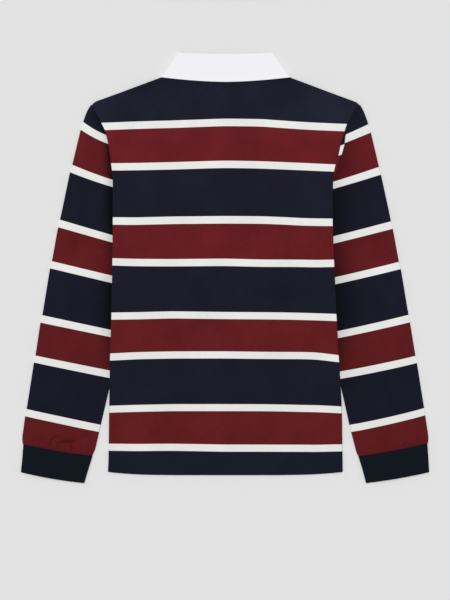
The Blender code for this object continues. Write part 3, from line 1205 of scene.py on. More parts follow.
@dataclass
class Panel:
    """One body panel: the back, or the front with its deeper neck and placket slot."""

    name: str
    node: str
    neck_drop: float
    step: float  # spacing of its points
    thickness: float = 1.0
    slot_half: float = 0.0  # half the placket slot's width, 0 for none
    slot_end: float = 0.0
    soften: float = 7.0  # smoothing of the solid's heights
    unevenness: float = 0.1
    side_swell: float = 0.9  # how far the panel rises towards its sides
    side_roll: float = 1.8  # radius of its rolled edges
    shoulder_roll: float = 1.6
    hem_roll: float = 1.3
    hem_step: float = 0.55  # how much higher the turned-up hem lies
    pucker: float = 0.35  # how deep the hem's seam is drawn in, and how much that changes along it
    pucker_change: float = 0.12

    def top_line(self, x: np.ndarray) -> np.ndarray:
        """Height of the shoulder and neck line.

        Args:
            x: Places across.

        Returns:
            Heights along the shirt, in millimetres.
        """
        on_left, out = x < 0, np.abs(x)
        tip = np.where(on_left, LEFT_SIDE[0][0], RIGHT_SIDE[0][0])
        tip_x = np.where(on_left, -LEFT_SIDE[0][1], RIGHT_SIDE[0][1])
        droop = np.where(on_left, *SHOULDER_DROOP)
        neck = NECK_TOP - self.neck_drop * (1.0 - (np.minimum(out, NECK_HALF) / NECK_HALF) ** 2)
        run = np.maximum(out - NECK_HALF, 0.0) / (tip_x - NECK_HALF)
        high = NECK_TOP + np.where(on_left, *SHOULDER_RISE)
        slope = high + (tip + droop - high) * run
        rounding = droop * np.clip((out - tip_x) / TIP_LENGTH + 1, 0, 1) ** 2
        return np.where(out < NECK_HALF, neck, slope - rounding)

    def hem_line(self, across: np.ndarray) -> np.ndarray:
        """Height of the hem at these shares of the width."""
        return HEM_SIDE - HEM_BOW * (1.0 - np.abs(2 * across - 1.0) ** 5)

    def plan(self) -> tuple[np.ndarray, np.ndarray, np.ndarray, np.ndarray]:
        """Lay the panel's points out in plan.

        Returns:
            Places across and along, and the distances to the side edges and to the top or hem.
        """
        width, height = 300.0, 500.0
        across = spaced(width, self.step, RIM) / width
        down = spaced(height, self.step, RIM) / height
        s, t = np.meshgrid(across, down)
        left_x, right_x = LEFT_SIDE[0][1], RIGHT_SIDE[0][1]
        top = self.top_line(left_x + (right_x - left_x) * s)
        y = top + (self.hem_line(s) - top) * t
        left = side_line(Side.LEFT, np.minimum(y, LEFT_SIDE[0][0]))
        right = side_line(Side.RIGHT, np.minimum(y, RIGHT_SIDE[0][0]))
        x = left + (right - left) * s
        return x, y, np.minimum(s, 1 - s) * width, np.minimum(t, 1 - t) * height

    def relief(self, x: np.ndarray, y: np.ndarray, side: np.ndarray) -> np.ndarray:
        """Height that drape, creases, seams and hem add to the panel's middle surface.

        Args:
            x: Places across.
            y: Places along.
            side: Distances to the side edges.

        Returns:
            Heights, all in millimetres.
        """
        under_arm = smooth_step(y, UNDERARM - 30, UNDERARM + 30)
        height = creased(BODY_CREASES, x, y) + self.unevenness * Ripple(3, 30.0, 120.0)(x, y)
        height = height + self.side_swell * bell(side, 11.0)
        height = height - rim_drop(side, self.side_roll) * (1.2 - 0.3 * under_arm)
        height = height - rim_drop(self.top_line(x) - y, self.shoulder_roll) * (np.abs(x) > NECK_HALF)
        across = (x - x[:, :1]) / (x[:, -1:] - x[:, :1])
        below = hem_seam(x) - y
        height = height + self.hem_step * smooth_step(below, -0.8, 0.8)
        pucker = self.pucker + self.pucker_change * np.sin(x / 1.9 + 2 * np.sin(x / 13.0))
        height = height - pucker * bell(below, 1.0)
        return height - rim_drop(y - self.hem_line(across), self.hem_roll)

    def build(self, wardrobe: Wardrobe) -> bpy.types.Object:
        """Make the panel and dress it.

        Args:
            wardrobe: The materials.

        Returns:
            The panel.
        """
        x, y, side, end = self.plan()
        is_back = self.slot_half == 0.0
        middle = sum(Lie(self.node, above, self.soften)(x, y) for above in (True, False)) / 2
        half = self.thickness / 2
        if is_back:
            middle = np.maximum(middle + self.relief(x, y, side), FRONT_TOP + half)
        share = np.minimum(wall_share(side, half), wall_share(end, half))
        outer = np.stack([x, y, middle + half * share], axis=-1)
        inner = np.stack([x, y, middle - half * share], axis=-1)
        cloth = np.stack([x, along_body(x, y), body_painted_shading(x, y)], axis=-1)
        keep = None
        if not is_back:
            cx = (x[:-1, :-1] + x[1:, 1:]) / 2
            cy = (y[:-1, :-1] + y[1:, 1:]) / 2
            keep = ~((np.abs(cx) < self.slot_half) & (cy > self.slot_end))
            outer[..., 2] = middle + half
            inner[..., 2] = middle - half
        piece = shell(self.name, outer, inner, cloth, keep=keep)
        dress(piece, wardrobe.jersey, Slot.JERSEY, self.node)
        return piece


@dataclass
class Torso:
    """Back and front with the hem's stitches."""

    back: Panel = field(default_factory=lambda: Panel("back", "back_panel", neck_drop=6.0, step=2.6))
    front: Panel = field(
        default_factory=lambda: Panel("front", "front_panel", 36.0, 6.0, slot_half=12.3, slot_end=113.0)
    )
    stitch_falls: tuple = (0.2, 3.0)  # how far each row of stitches lies below the hem's seam
    stitch_ends: tuple = (-148.0, 148.9)  # where the rows start and end across the shirt

    def hem_stitches(self, wardrobe: Wardrobe, back: bpy.types.Object) -> bpy.types.Object:
        """Sew two rows of stitches along the back's hem.

        Args:
            wardrobe: The materials.
            back: The back's piece, which the stitches lie on.

        Returns:
            The thread.
        """
        x = np.linspace(*self.stitch_ends, 240)
        rows = [StitchRow(on_surface(back, x, hem_seam(x) - fall)) for fall in self.stitch_falls]
        thread = sewn("hem_stitches", rows)
        dress(thread, wardrobe.dark_thread, Slot.JERSEY)
        return thread

    def build(self, wardrobe: Wardrobe) -> None:
        """Make both panels and their stitches.

        Args:
            wardrobe: The materials.
        """
        back = self.back.build(wardrobe)
        hem = self.hem_stitches(wardrobe, back)
        front = self.front.build(wardrobe)


def on_surface(piece: bpy.types.Object, x: np.ndarray, y: np.ndarray) -> np.ndarray:
    """Drop points onto a piece from above.

    Args:
        piece: The piece.
        x: Places across, in millimetres.
        y: Places along, in millimetres.

    Returns:
        Points on the piece's upper face, in millimetres.
    """
    tree = faces_of(piece)
    points = [(px, py, struck(tree, px, py)) for px, py in zip(x, y)]
    return np.array([point for point in points if point[2] is not None])


# ---------------------------------------------------------------------------------------------------
# Sleeves and cuffs
# ---------------------------------------------------------------------------------------------------


class ArmRow(NamedTuple):
    """A line across a sleeve or cuff, from its outer fold to the armhole seam or inner fold."""

    along: float  # place along the cloth, from the first band's upper edge
    outer_x: float
    outer_y: float
    inner_x: float
    inner_y: float
    bow: float = 0.0  # how far its middle hangs below a straight line


LEFT_ARM = (
    ArmRow(-24.5, -171.6, 209.3, -170.6, 208.6),
    ArmRow(-19.0, -174.5, 205.6, -168.2, 203.6),
    ArmRow(-11.0, -178.2, 198.4, -162.5, 190.0, 0.8),
    ArmRow(0.0, -181.7, 187.6, -154.3, 169.5, 1.6),
    ArmRow(9.5, -185.0, 177.5, -149.9, 159.1, 1.6),
    ArmRow(53.9, -195.8, 132.4, -144.5, 112.8, 0.9),
    ArmRow(63.3, -198.8, 122.7, -144.0, 103.6, 0.8),
    ArmRow(114.4, -209.3, 72.0, -143.9, 53.0, 0.4),
    ArmRow(124.6, -211.5, 61.8, -106.4, 30.7),
    ArmRow(134.2, -214.0, 52.3, -108.5, 22.5),
    ArmRow(179.1, -221.8, 8.8, -117.0, -16.3),
    ArmRow(188.5, -224.3, -0.2, -119.2, -25.4),
    ArmRow(247.7, -234.1, -60.6, -131.8, -82.6),
    ArmRow(256.8, -236.6, -70.1, -133.9, -91.2),
    ArmRow(298.0, -242.9, -112.3, -143.1, -132.3),
    ArmRow(307.1, -244.9, -121.0, -145.4, -141.5),
    ArmRow(365.5, -254.2, -180.6, -159.3, -200.8),
    ArmRow(374.4, -256.1, -189.8, -161.5, -210.4),
    ArmRow(400.0, -259.7, -215.6, -165.6, -229.0, 0.6),
    ArmRow(405.0, -260.0, -220.6, -167.3, -234.8, 1.3),
    ArmRow(410.0, -258.9, -225.5, -170.1, -240.1, 1.6),
)
RIGHT_ARM = (
    ArmRow(-24.5, 173.0, 209.4, 172.0, 208.6),
    ArmRow(-19.0, 175.8, 205.3, 170.2, 204.0),
    ArmRow(-11.0, 179.4, 197.4, 163.0, 192.8, 0.8),
    ArmRow(0.0, 183.8, 184.5, 152.8, 168.4, 0.4),
    ArmRow(9.5, 187.0, 173.7, 148.6, 158.0, 0.2),
    ArmRow(53.9, 197.4, 129.6, 138.8, 110.2, 0.4),
    ArmRow(63.3, 200.0, 119.6, 138.5, 101.3, 0.4),
    ArmRow(112.3, 210.3, 72.0, 138.1, 53.5, 0.3),
    ArmRow(124.6, 212.7, 59.8, 106.8, 32.4, 0.3),
    ArmRow(134.2, 215.1, 50.3, 108.7, 24.1, 0.4),
    ArmRow(179.1, 222.9, 8.0, 117.6, -17.0, 0.5),
    ArmRow(188.5, 225.4, -1.2, 119.6, -25.4, 0.5),
    ArmRow(247.7, 235.2, -60.1, 132.7, -83.5, 0.6),
    ArmRow(256.8, 237.1, -69.7, 134.8, -91.9, 0.5),
    ArmRow(298.0, 244.1, -112.7, 144.1, -133.2, 0.8),
    ArmRow(307.1, 246.0, -121.7, 146.4, -142.3, 0.8),
    ArmRow(365.5, 255.2, -179.3, 159.4, -200.9, 1.2),
    ArmRow(374.4, 256.5, -188.5, 161.7, -210.3, 0.9),
    ArmRow(398.0, 260.4, -213.5, 166.8, -229.5, 0.4),
    ArmRow(404.0, 260.9, -219.5, 168.3, -236.4, 0.8),
    ArmRow(409.3, 259.9, -224.6, 171.0, -241.1, 1.2),
)
LEFT_CUFF = (
    ArmRow(0.0, -258.4, -225.1, -169.6, -239.7, 1.6),
    ArmRow(18.0, -259.7, -243.2, -175.0, -257.2, 1.6),
    ArmRow(36.4, -261.6, -261.3, -180.4, -275.2, 1.5),
)
RIGHT_CUFF = (
    ArmRow(0.0, 259.3, -224.2, 170.8, -240.6, 1.2),
    ArmRow(18.0, 260.5, -242.4, 176.0, -257.4, 1.2),
    ArmRow(36.4, 261.7, -261.2, 180.7, -275.2, 1.2),
)
LEFT_ARM_CREASES = (
    Crease(-222.6, -223.4, 70.0, 16.0, 1.1, 2.2, 1.2),
    Crease(-215.6, -217.2, 12.0, 16.0, 1.3, 1.2, 1.4),
    Crease(-203.5, -223.8, 6.0, 27.0, 2.1, 2.0, 2.3),
    Crease(-213.8, -229.0, 100.0, 9.0, 1.0, 2.0),
    Crease(-196.4, -230.0, 84.0, 13.0, 1.1, 1.8),
    Crease(-238.0, -216.0, 12.0, 13.0, 1.6, 0.8, -1.4),
    Crease(-186.0, -216.0, 24.0, 34.0, 5.0, 0.5),
    Crease(-184.0, -231.0, 104.0, 11.0, 1.5, 0.6),
    Crease(-186.0, 60.0, 76.0, 110.0, 7.0, 0.35),
    Crease(-200.0, -60.0, 80.0, 120.0, 8.0, 0.3),
    Crease(-208.0, -165.0, 70.0, 70.0, 6.0, 0.3),
)
RIGHT_ARM_CREASES = (
    Crease(228.5, -224.5, 40.0, 15.0, 1.4, 1.1, -1.4),
    Crease(206.0, -227.0, 75.0, 13.0, 1.4, 0.9),
    Crease(190.0, -231.0, 110.0, 11.0, 1.3, 0.9),
    Crease(246.0, -219.0, 96.0, 11.0, 1.4, 0.7),
    Crease(183.0, 70.0, -76.0, 110.0, 7.0, 0.35),
    Crease(202.0, -70.0, -80.0, 120.0, 8.0, 0.3),
    Crease(212.0, -168.0, -72.0, 64.0, 6.0, 0.3),
)


class SeamShade(NamedTuple):
    """How deep the painted shade is beside the body's edge at one height, and how wide it reaches."""

    y: float
    depth: float
    width: float


# Painted shade on each sleeve beside the body's edge, where the body's edge shades it.
LEFT_SEAM_SHADE = (
    SeamShade(-170.0, 0.0, 8.0),
    SeamShade(-125.0, 0.24, 8.0),
    SeamShade(-98.0, 0.42, 11.0),
    SeamShade(-70.0, 0.65, 12.5),
    SeamShade(-30.0, 0.66, 12.5),
    SeamShade(0.0, 0.34, 14.0),
    SeamShade(28.0, 0.48, 11.0),
    SeamShade(60.0, 0.9, 9.0),
    SeamShade(90.0, 1.05, 9.0),
    SeamShade(118.0, 0.9, 7.4),
    SeamShade(150.0, 0.84, 6.6),
    SeamShade(168.0, 0.6, 5.4),
    SeamShade(186.0, 0.66, 4.6),
    SeamShade(193.0, 0.4, 4.4),
    SeamShade(200.0, 0.0, 4.0),
)
RIGHT_SEAM_SHADE = (
    SeamShade(-205.0, 0.0, 20.0),
    SeamShade(-171.0, 0.15, 22.0),
    SeamShade(-156.0, 0.14, 32.0),
    SeamShade(-141.0, 0.2, 22.0),
    SeamShade(-125.0, 0.38, 13.0),
    SeamShade(-94.0, 0.54, 19.0),
    SeamShade(-33.0, 0.57, 22.0),
    SeamShade(24.0, 0.5, 20.0),
    SeamShade(60.0, 0.6, 23.0),
    SeamShade(92.0, 0.58, 24.0),
    SeamShade(121.0, 0.45, 16.0),
    SeamShade(140.0, 0.42, 12.0),
    SeamShade(150.0, 0.38, 10.0),
    SeamShade(194.0, 0.0, 10.0),
)
SLEEVE_HEAD = (183.0, 199.0)  # heights between which a change of painted shading is spread
HEAD_FOLD = (170.0, 200.0)
UPPER_ARM = (125.0, 155.0)
FOREARM = (60.0, -40.0)
STRIP_DEPTHS = (196.0, 150.0)
DEEPEST_PAINTED_SHADE = 0.86  # the deepest painted shade of a sleeve
SEAM_LAP = 0.25  # how far a sewn edge runs in under its neighbour, which closes the seam
LOWEST = -0.25  # how far an upper sheet may sink before it would meet the lower one

# The pleat beside the right armhole seam: a lip of cloth that is folded over a hidden strip.
PLEAT = (  # height, width of the hidden strip
    (117.0, 0.0),
    (121.0, 1.9),
    (131.0, 3.6),
    (146.0, 3.5),
    (159.0, 4.9),
    (174.0, 2.0),
    (184.0, 0.0),
)
PLEAT_FALL = 2.0  # the strip at a height is as wide as the table says this far above it
PLEAT_SLIP = 10.6  # its hidden layer has slipped this far along the sleeve
PLEAT_STRETCH = 0.2  # and this much more for each millimetre further down
PLEAT_RISE = 0.9  # how far its lip stands up
PLEAT_LEAST = 0.05  # no lip is made over a narrower strip
STRIP_PAINTED_SHADE = 0.12  # painted shade on the hidden strip, only a little
LIP_ROUND = 1.1  # radius of the lip's edge
LIP_FLAT = 2.0  # how far from its edge the lip stands up fully
LIP_SLOPE = 9.0  # width of its slope down to the sleeve
LIP_FULL = 2.5  # the lip is lower over a strip narrower than this
LIP_STEPS = (1.0, 0.65, 0.35, 0.12, 0.02)  # distances of the lip's points from its edge
STRIP_SHARES = (0.98, 0.75, 0.5, 0.25, 0.0)  # places of the strip's points, from its far edge
LIP_START = 1.4  # where the lip's points take over from the evenly spaced ones


class SleeveTables(NamedTuple):
    """The tables of one sleeve."""

    arm: tuple
    cuff: tuple
    creases: tuple
    seam_shades: tuple


SLEEVES = {
    Side.LEFT: SleeveTables(LEFT_ARM, LEFT_CUFF, LEFT_ARM_CREASES, LEFT_SEAM_SHADE),
    Side.RIGHT: SleeveTables(RIGHT_ARM, RIGHT_CUFF, RIGHT_ARM_CREASES, RIGHT_SEAM_SHADE),
}


@dataclass
class ArmTube:
    """A flattened cloth tube laid out along a table of rows."""

    rows: tuple
    wall: float
    top: float  # height of its upper face
    step: float
    start: float = 0.0  # place along the cloth of the table's zero
    seam: Side | None = None  # the armhole that its inner end follows
    rounding: float = 6.0
    fine: float = 0.0  # length at the far end that gets twice as many rows
    flats: int = 40
    under_flats: int = 16
    turns: int = 8

    def frames(self) -> tuple[np.ndarray, ...]:
        """Read the table smoothly.

        Returns:
            Places along the tube, then both ends of each row and its bow.
        """
        places = [row.along for row in self.rows]
        length = places[-1] - places[0]
        along = places[0] + spaced(length, self.step, RIM)
        near = along[along > along[-1] - self.fine]
        along = np.sort(np.concatenate([along, (near[1:] + near[:-1]) / 2]))
        read = [eased(along, places, [row[k] for row in self.rows], self.rounding) for k in range(1, 6)]
        if self.seam is not None:
            on_seam = smooth_step(read[3], UNDERARM - 8.0, UNDERARM)
            edge = side_line(self.seam, np.minimum(read[3], 209.2)) - SEAM_LAP * self.seam.value
            read[2] = read[2] + (edge - read[2]) * on_seam
        return along, *read

    def sections(self, width: float, fold: float) -> tuple[np.ndarray, ...]:
        """Lay out the points of one ring, along the upper sheet and back along the lower one.

        Args:
            width: Width of the flattened tube.
            fold: Width of the pleat's hidden strip at the inner end.

        Returns:
            Distances from the outer end, reach past the sheets' ends, rise from -1 to 1, and share of
            the upper sheet.
        """
        short = min(self.top / 2, width / 3)
        last = width - short
        evenly = self.flats - len(LIP_STEPS) - len(STRIP_SHARES)
        main = np.linspace(short, last - fold - LIP_START, evenly)
        lip = last - fold - np.array(LIP_STEPS)
        strip = last - fold * np.array(STRIP_SHARES)
        lower = np.linspace(last, short, self.under_flats)
        turn = np.pi * np.arange(1, self.turns) / self.turns
        ends = np.full(self.turns - 1, last), np.full(self.turns - 1, short)
        distance = np.concatenate([main, lip, strip, ends[0], lower, ends[1]])
        flat_top, flat_under = np.ones(self.flats), np.ones(self.under_flats)
        reach = np.concatenate([0 * flat_top, np.sin(turn), 0 * flat_under, -np.sin(turn)])
        rise = np.concatenate([flat_top, np.cos(turn), -flat_under, -np.cos(turn)])
        return distance, reach, rise, (1 + rise) / 2

    def pleated(
        self, distance: np.ndarray, upper: np.ndarray, place: float, fold: float
    ) -> tuple[np.ndarray, np.ndarray]:
        """Fold the pleat's lip over its hidden strip.

        Args:
            distance: Distances of a ring's points from the outer end.
            upper: Their share of the upper sheet.
            place: Place along the tube.
            fold: Width of the hidden strip.

        Returns:
            How much higher the lip stands, and how far the strip's cloth has slipped along the sleeve.
        """
        if fold <= PLEAT_LEAST:
            return np.zeros_like(distance), np.zeros_like(distance)
        before = distance[self.flats - 1 - len(STRIP_SHARES)] + LIP_STEPS[-1] - distance
        lip = wall_share(np.maximum(before, 0.0), LIP_ROUND)
        lip = lip * bell(np.maximum(before - LIP_FLAT, 0.0), LIP_SLOPE) * min(1.0, fold / LIP_FULL)
        rise = np.where((before >= 0.0) & (upper > 0.5), PLEAT_RISE * lip, 0.0)
        hidden = (before < 0.0) & (np.arange(len(distance)) < self.flats + self.turns - 1)
        slip = np.where(hidden, -PLEAT_SLIP - PLEAT_STRETCH * (place - PLEAT_SLIP), 0.0)
        return rise, slip

    def ring(self, row: tuple, near: float, surface: Callable, pleat: Callable | None) -> tuple:
        """Work out one ring of the tube.

        Args:
            row: Its place along the tube, both its ends and its bow.
            near: Its distance to the nearer end of the tube.
            surface: As for rings.
            pleat: As for rings.

        Returns:
            Outer points, inner points and places on the cloth.
        """
        place, outer_x, outer_y, inner_x, inner_y, bow = row
        run = np.array([inner_x - outer_x, inner_y - outer_y])
        width = np.linalg.norm(run)
        way = run / width
        fold = 0.0 if pleat is None else float(pleat(inner_y + PLEAT_FALL))
        distance, reach, rise, upper = self.sections(width, fold)
        share = distance / width
        x = outer_x + way[0] * distance
        y = outer_y + way[1] * distance - bow * 4.0 * share * (1.0 - share)
        height, painted_shading = surface(x, y, place, width - distance, distance)
        lip, slip = self.pleated(distance, upper, place, fold)
        height = height + lip
        radius = self.top / 2
        middle = radius - self.wall / 2
        thin = float(wall_share(near, self.wall / 2))
        faces = []
        for face in (radius, radius - self.wall):
            bend = middle + (face - middle) * thin
            z = radius + bend * rise + height * upper
            faces.append(np.stack([x + way[0] * reach * bend, y + way[1] * reach * bend, z], axis=-1))
        across = distance + reach * radius
        # Only the upper sheet carries the painted shading.
        return *faces, np.stack([across, self.start + place + slip, painted_shading * upper], axis=-1)

    def rings(self, surface: Callable, pleat: Callable | None = None) -> tuple[np.ndarray, ...]:
        """Work out the tube's points.

        Args:
            surface: Gives the upper sheet's added height and its painted shading, from x, y, the place
                along,
            and the distances to the inner and the outer end.
            pleat: Gives the width of the pleat's hidden strip at a height, or None.

        Returns:
            Outer points, inner points and places on the cloth.
        """
        along, *lines = self.frames()
        to_end = np.minimum(along - along[0], along[-1] - along)
        rows = [self.ring(row, near, surface, pleat) for near, *row in zip(to_end, along, *lines)]
        return tuple(np.array(grid) for grid in zip(*rows))


@dataclass
class Sleeve:
    """One sleeve with its cuff and their stitches."""

    side: Side
    wall: float = 1.0
    top: float = 2.3  # height of the upper sheet at its edges
    cuff_wall: float = 1.4
    cuff_top: float = 3.1
    loft: float = 1.7  # how far the upper sheet's middle stands off the lower one
    unevenness: float = 0.12
    seam_sink: float = 0.25  # how far the sheet sinks beside the armhole seam
    fullness: float = 0.9  # how far the cloth gathered over the cuff stands up
    gather: float = 0.32  # height of the gathers on it
    cuff_pinch: float = 0.85  # share of all that height that the cuff's seam takes away
    cuff_loft: float = 0.6
    cuff_unevenness: float = 0.14
    cuff_step: float = 0.9  # how far the cuff sinks at its seam
    cuff_roll: float = 0.6  # and at its open end
    stitch_fall: float = 4.0  # how far the cuff's stitches lie from its seam
    # Painted shading of the sleeve: a little painted shade all over, painted light above the elbow, painted
    # shade below it and over the head, painted light along the outer fold there, and painted shade in
    # creases.
    base_painted_shade: float = 0.09
    upper_painted_light: float = 0.05  # painted light above the elbow
    lower_painted_shade: float = 0.06  # painted shade below the elbow
    head_painted_shade: float = 0.17  # painted shade over the sleeve's head, where it turns away from the light
    fold_painted_light: float = 0.2  # painted light along the outer fold there
    fold_light_width: float = 7.0
    crease_painted_shade: float = 0.38  # painted shade in a crease for each millimetre of its depth

    @property
    def word(self) -> str:
        """The side in lower case."""
        return self.side.name.lower()

    @property
    def tables(self) -> SleeveTables:
        """The tables of this side."""
        return SLEEVES[self.side]

    def pleat(self) -> Callable | None:
        """Give the pleat beside the right armhole seam.

        Returns:
            The width of its hidden strip at a height, or None on the left.
        """
        heights, widths = zip(*PLEAT)
        return None if self.side is Side.LEFT else lambda y: np.interp(y, heights, widths)

    def seam_painted_shade(self, y: np.ndarray, off_body: np.ndarray) -> np.ndarray:
        """How much painted shade lies beside the body's edge, in the hollow that the edge shades.

        Args:
            y: Places along the shirt.
            off_body: Distances from the body's edge.

        Returns:
            Painted shade.
        """
        places, depths, widths = zip(*self.tables.seam_shades)
        depth = np.interp(y, places, depths)
        width = np.interp(y, places, widths)
        if self.side is Side.RIGHT:
            off_body = off_body - self.pleat()(y + PLEAT_FALL)
            depth = np.where(off_body < -0.6, STRIP_PAINTED_SHADE * smooth_step(y, *STRIP_DEPTHS), depth)
        return depth * np.exp(-((np.maximum(off_body, 0.0) / width) ** 1.6))

    def arm_painted_shading(self, y: np.ndarray, to_outer: np.ndarray) -> np.ndarray:
        """How much painted shading the sleeve has before the painted shade of creases and seam is added.

        Args:
            y: Places along the shirt.
            to_outer: Distances to the outer fold.

        Returns:
            Painted shading, below 0 for painted light.
        """
        painted_shading = self.base_painted_shade - self.upper_painted_light * smooth_step(y, *UPPER_ARM)
        painted_shading = painted_shading + self.head_painted_shade * smooth_step(y, *SLEEVE_HEAD)
        painted_shading = painted_shading + self.lower_painted_shade * smooth_step(y, *FOREARM)
        return painted_shading - self.fold_painted_light * bell(to_outer, self.fold_light_width) * smooth_step(y, *HEAD_FOLD)

    def gathers(self, x: np.ndarray, y: np.ndarray, to_cuff: float) -> np.ndarray:
        """Height of the cloth gathered over the cuff, at this distance from its seam."""
        ripple = Ripple(21 + self.side.value, 6.0, 22.0)(x, y * 0.25)
        return (self.fullness + self.gather * ripple) * bell(max(to_cuff - 4.0, 0.0), 11.0)

    def arm_surface(
        self, x: np.ndarray, y: np.ndarray, along: float, to_inner: np.ndarray, to_outer: np.ndarray
    ) -> tuple[np.ndarray, np.ndarray]:
        """Give the upper sheet its loft, creases, gathers and painted shading.

        Args:
            x: Places across the shirt.
            y: Places along the shirt.
            along: Place along the sleeve.
            to_inner: Distances to the inner end.
            to_outer: Distances to the outer end.

        Returns:
            Added heights and painted shading.
        """
        to_cuff = self.tables.arm[-1].along - along
        edge = np.minimum(to_inner, to_outer)
        off_body = self.side.value * (x - side_line(self.side, y))
        puff = smooth_step(to_outer, 0.3, 15.0) * smooth_step(to_inner, 0.3, 17.0)
        puff = puff * smooth_step(off_body, 0.0, 17.0)
        height = (self.loft + self.unevenness * Ripple(11 + self.side.value, 26.0, 110.0)(x, y)) * puff
        beside = smooth_step(off_body, 0.0, 6.0)
        height = height + creased(self.tables.creases, x, y) * beside
        # The creases' depth, which sets how much painted shade lies in them.
        deep = sum(np.maximum(-crease.height(x, y), 0.0) for crease in self.tables.creases) * beside
        height = height - self.seam_sink * bell(to_inner, 2.0) * (y > UNDERARM)
        height = height + self.gathers(x, y, to_cuff) * smooth_step(edge, 0.0, 9.0)
        height = np.maximum(height * (1.0 - self.cuff_pinch * bell(to_cuff, 1.8)), LOWEST)
        painted_shading = self.arm_painted_shading(y, to_outer) + self.crease_painted_shade * deep
        return height, np.minimum(painted_shading + self.seam_painted_shade(y, off_body), DEEPEST_PAINTED_SHADE)

    def cuff_surface(
        self, x: np.ndarray, y: np.ndarray, along: float, to_inner: np.ndarray, to_outer: np.ndarray
    ) -> tuple[np.ndarray, np.ndarray]:
        """Give the cuff's upper sheet its loft and seam, and no painted shading.

        Args:
            x: Places across the shirt.
            y: Places along the shirt.
            along: Place along the cuff.
            to_inner: Distances to the inner end.
            to_outer: Distances to the outer end.

        Returns:
            Added heights, and painted shading that is 0 everywhere.
        """
        to_end = self.tables.cuff[-1].along - along
        puff = smooth_step(np.minimum(to_inner, to_outer), 1.0, 20.0)
        ripple = Ripple(31 + self.side.value, 18.0, 70.0)(x, y)
        height = (self.cuff_loft + self.cuff_unevenness * ripple) * puff
        height = height - self.cuff_step * bell(along, 2.2)
        height = height - self.cuff_roll * float(rim_drop(np.array(to_end), 1.4))
        height = height - 0.22 * bell(along - self.stitch_fall, 0.7)
        return np.maximum(height, LOWEST), 0.0 * x

    def build_arm(self, wardrobe: Wardrobe) -> bpy.types.Object:
        """Make the sleeve and dress it.

        Args:
            wardrobe: The materials.

        Returns:
            The piece.
        """
        tube = ArmTube(
            self.tables.arm, self.wall, self.top, 2.6, start=CLOTH_TOP, seam=self.side, fine=36.0, flats=88
        )
        piece = shell(f"{self.word}_sleeve", *tube.rings(self.arm_surface, self.pleat()), closed=True)
        dress(piece, wardrobe.jersey, Slot.JERSEY, f"sleeve_{self.word}")
        return piece

    def build_cuff(self, wardrobe: Wardrobe) -> bpy.types.Object:
        """Make the cuff and dress it.

        Args:
            wardrobe: The materials.

        Returns:
            The piece.
        """
        tube = ArmTube(self.tables.cuff, self.cuff_wall, self.cuff_top, 1.6, rounding=4.0, flats=46)
        piece = shell(f"{self.word}_cuff", *tube.rings(self.cuff_surface), closed=True)
        dress(piece, wardrobe.cuff, Slot.CUFF, f"cuff_{self.word}")
        return piece

    def cuff_stitches(self, cuff: bpy.types.Object, wardrobe: Wardrobe) -> bpy.types.Object:
        """Sew a row of stitches along the cuff beside its seam.

        Args:
            cuff: The cuff's piece, which the stitches lie on.
            wardrobe: The materials.

        Returns:
            The thread.
        """
        first, last = self.tables.cuff[0], self.tables.cuff[-1]
        share = np.linspace(0.02, 0.98, 90)
        fall = self.stitch_fall / (last.along - first.along)
        line = ArmRow(*(start + (end - start) * fall for start, end in zip(first, last)))
        x = line.outer_x + (line.inner_x - line.outer_x) * share
        y = line.outer_y + (line.inner_y - line.outer_y) * share - line.bow * 4 * share * (1 - share)
        thread = sewn(f"{self.word}_cuff_stitches", [StitchRow(on_surface(cuff, x, y))])
        dress(thread, wardrobe.dark_thread, Slot.CUFF)
        return thread

    def build(self, wardrobe: Wardrobe) -> None:
        """Make the sleeve, its cuff and stitches.

        Args:
            wardrobe: The materials.
        """
        arm = self.build_arm(wardrobe)
        cuff = self.build_cuff(wardrobe)
        thread = self.cuff_stitches(cuff, wardrobe)


# ---------------------------------------------------------------------------------------------------
# Collar and placket
# ---------------------------------------------------------------------------------------------------


class NeckEdge(NamedTuple):
    """One long edge of a collar band."""

    left: tuple
    right: tuple
    back_bow: float
    front_bend: tuple
    front_end: tuple


OPENING = 0.6  # half the gap between the band's ends at the front
FRONT_POINTS, FOLD_STEPS, BACK_POINTS = 36, 10, 91  # along each front, each side fold and the back
BACK_ROUNDNESS = 1.7  # 2 bows the back as a parabola, less draws its middle to a point
FOLD_SHAPE = np.array([0.55, 1.0, 1.0])  # the folds at the sides are pressed sharper than half round
LEAF_ROLL_EDGE = NeckEdge((-59.8, 275.7), (61.7, 275.7), 1.5, (38.0, 248.0), (OPENING, 240.0))
LEAF_FREE_EDGE = NeckEdge((-82.6, 244.0), (84.0, 243.9), 5.8, (70.0, 214.0), (45.0, 190.0))
STAND_NECK_EDGE = NeckEdge((-68.4, 249.9), (68.4, 249.9), 6.4, (34.0, 213.7), (OPENING, 213.7))
STAND_TOP_EDGE = NeckEdge((-57.0, 273.4), (58.0, 273.4), 1.5, (36.0, 246.0), (OPENING, 237.5))


def mixed(first: NeckEdge, second: NeckEdge, share: float) -> NeckEdge:
    """The band's line that lies this share of the way between two edges.

    Args:
        first: The edge at share 0.
        second: The edge at share 1.
        share: How far between them.

    Returns:
        The line.
    """
    values = []
    for a, b in zip(first, second):
        value = np.array(a, float) + (np.array(b, float) - np.array(a, float)) * share
        values.append(tuple(value) if value.ndim else float(value))
    return NeckEdge(*values)


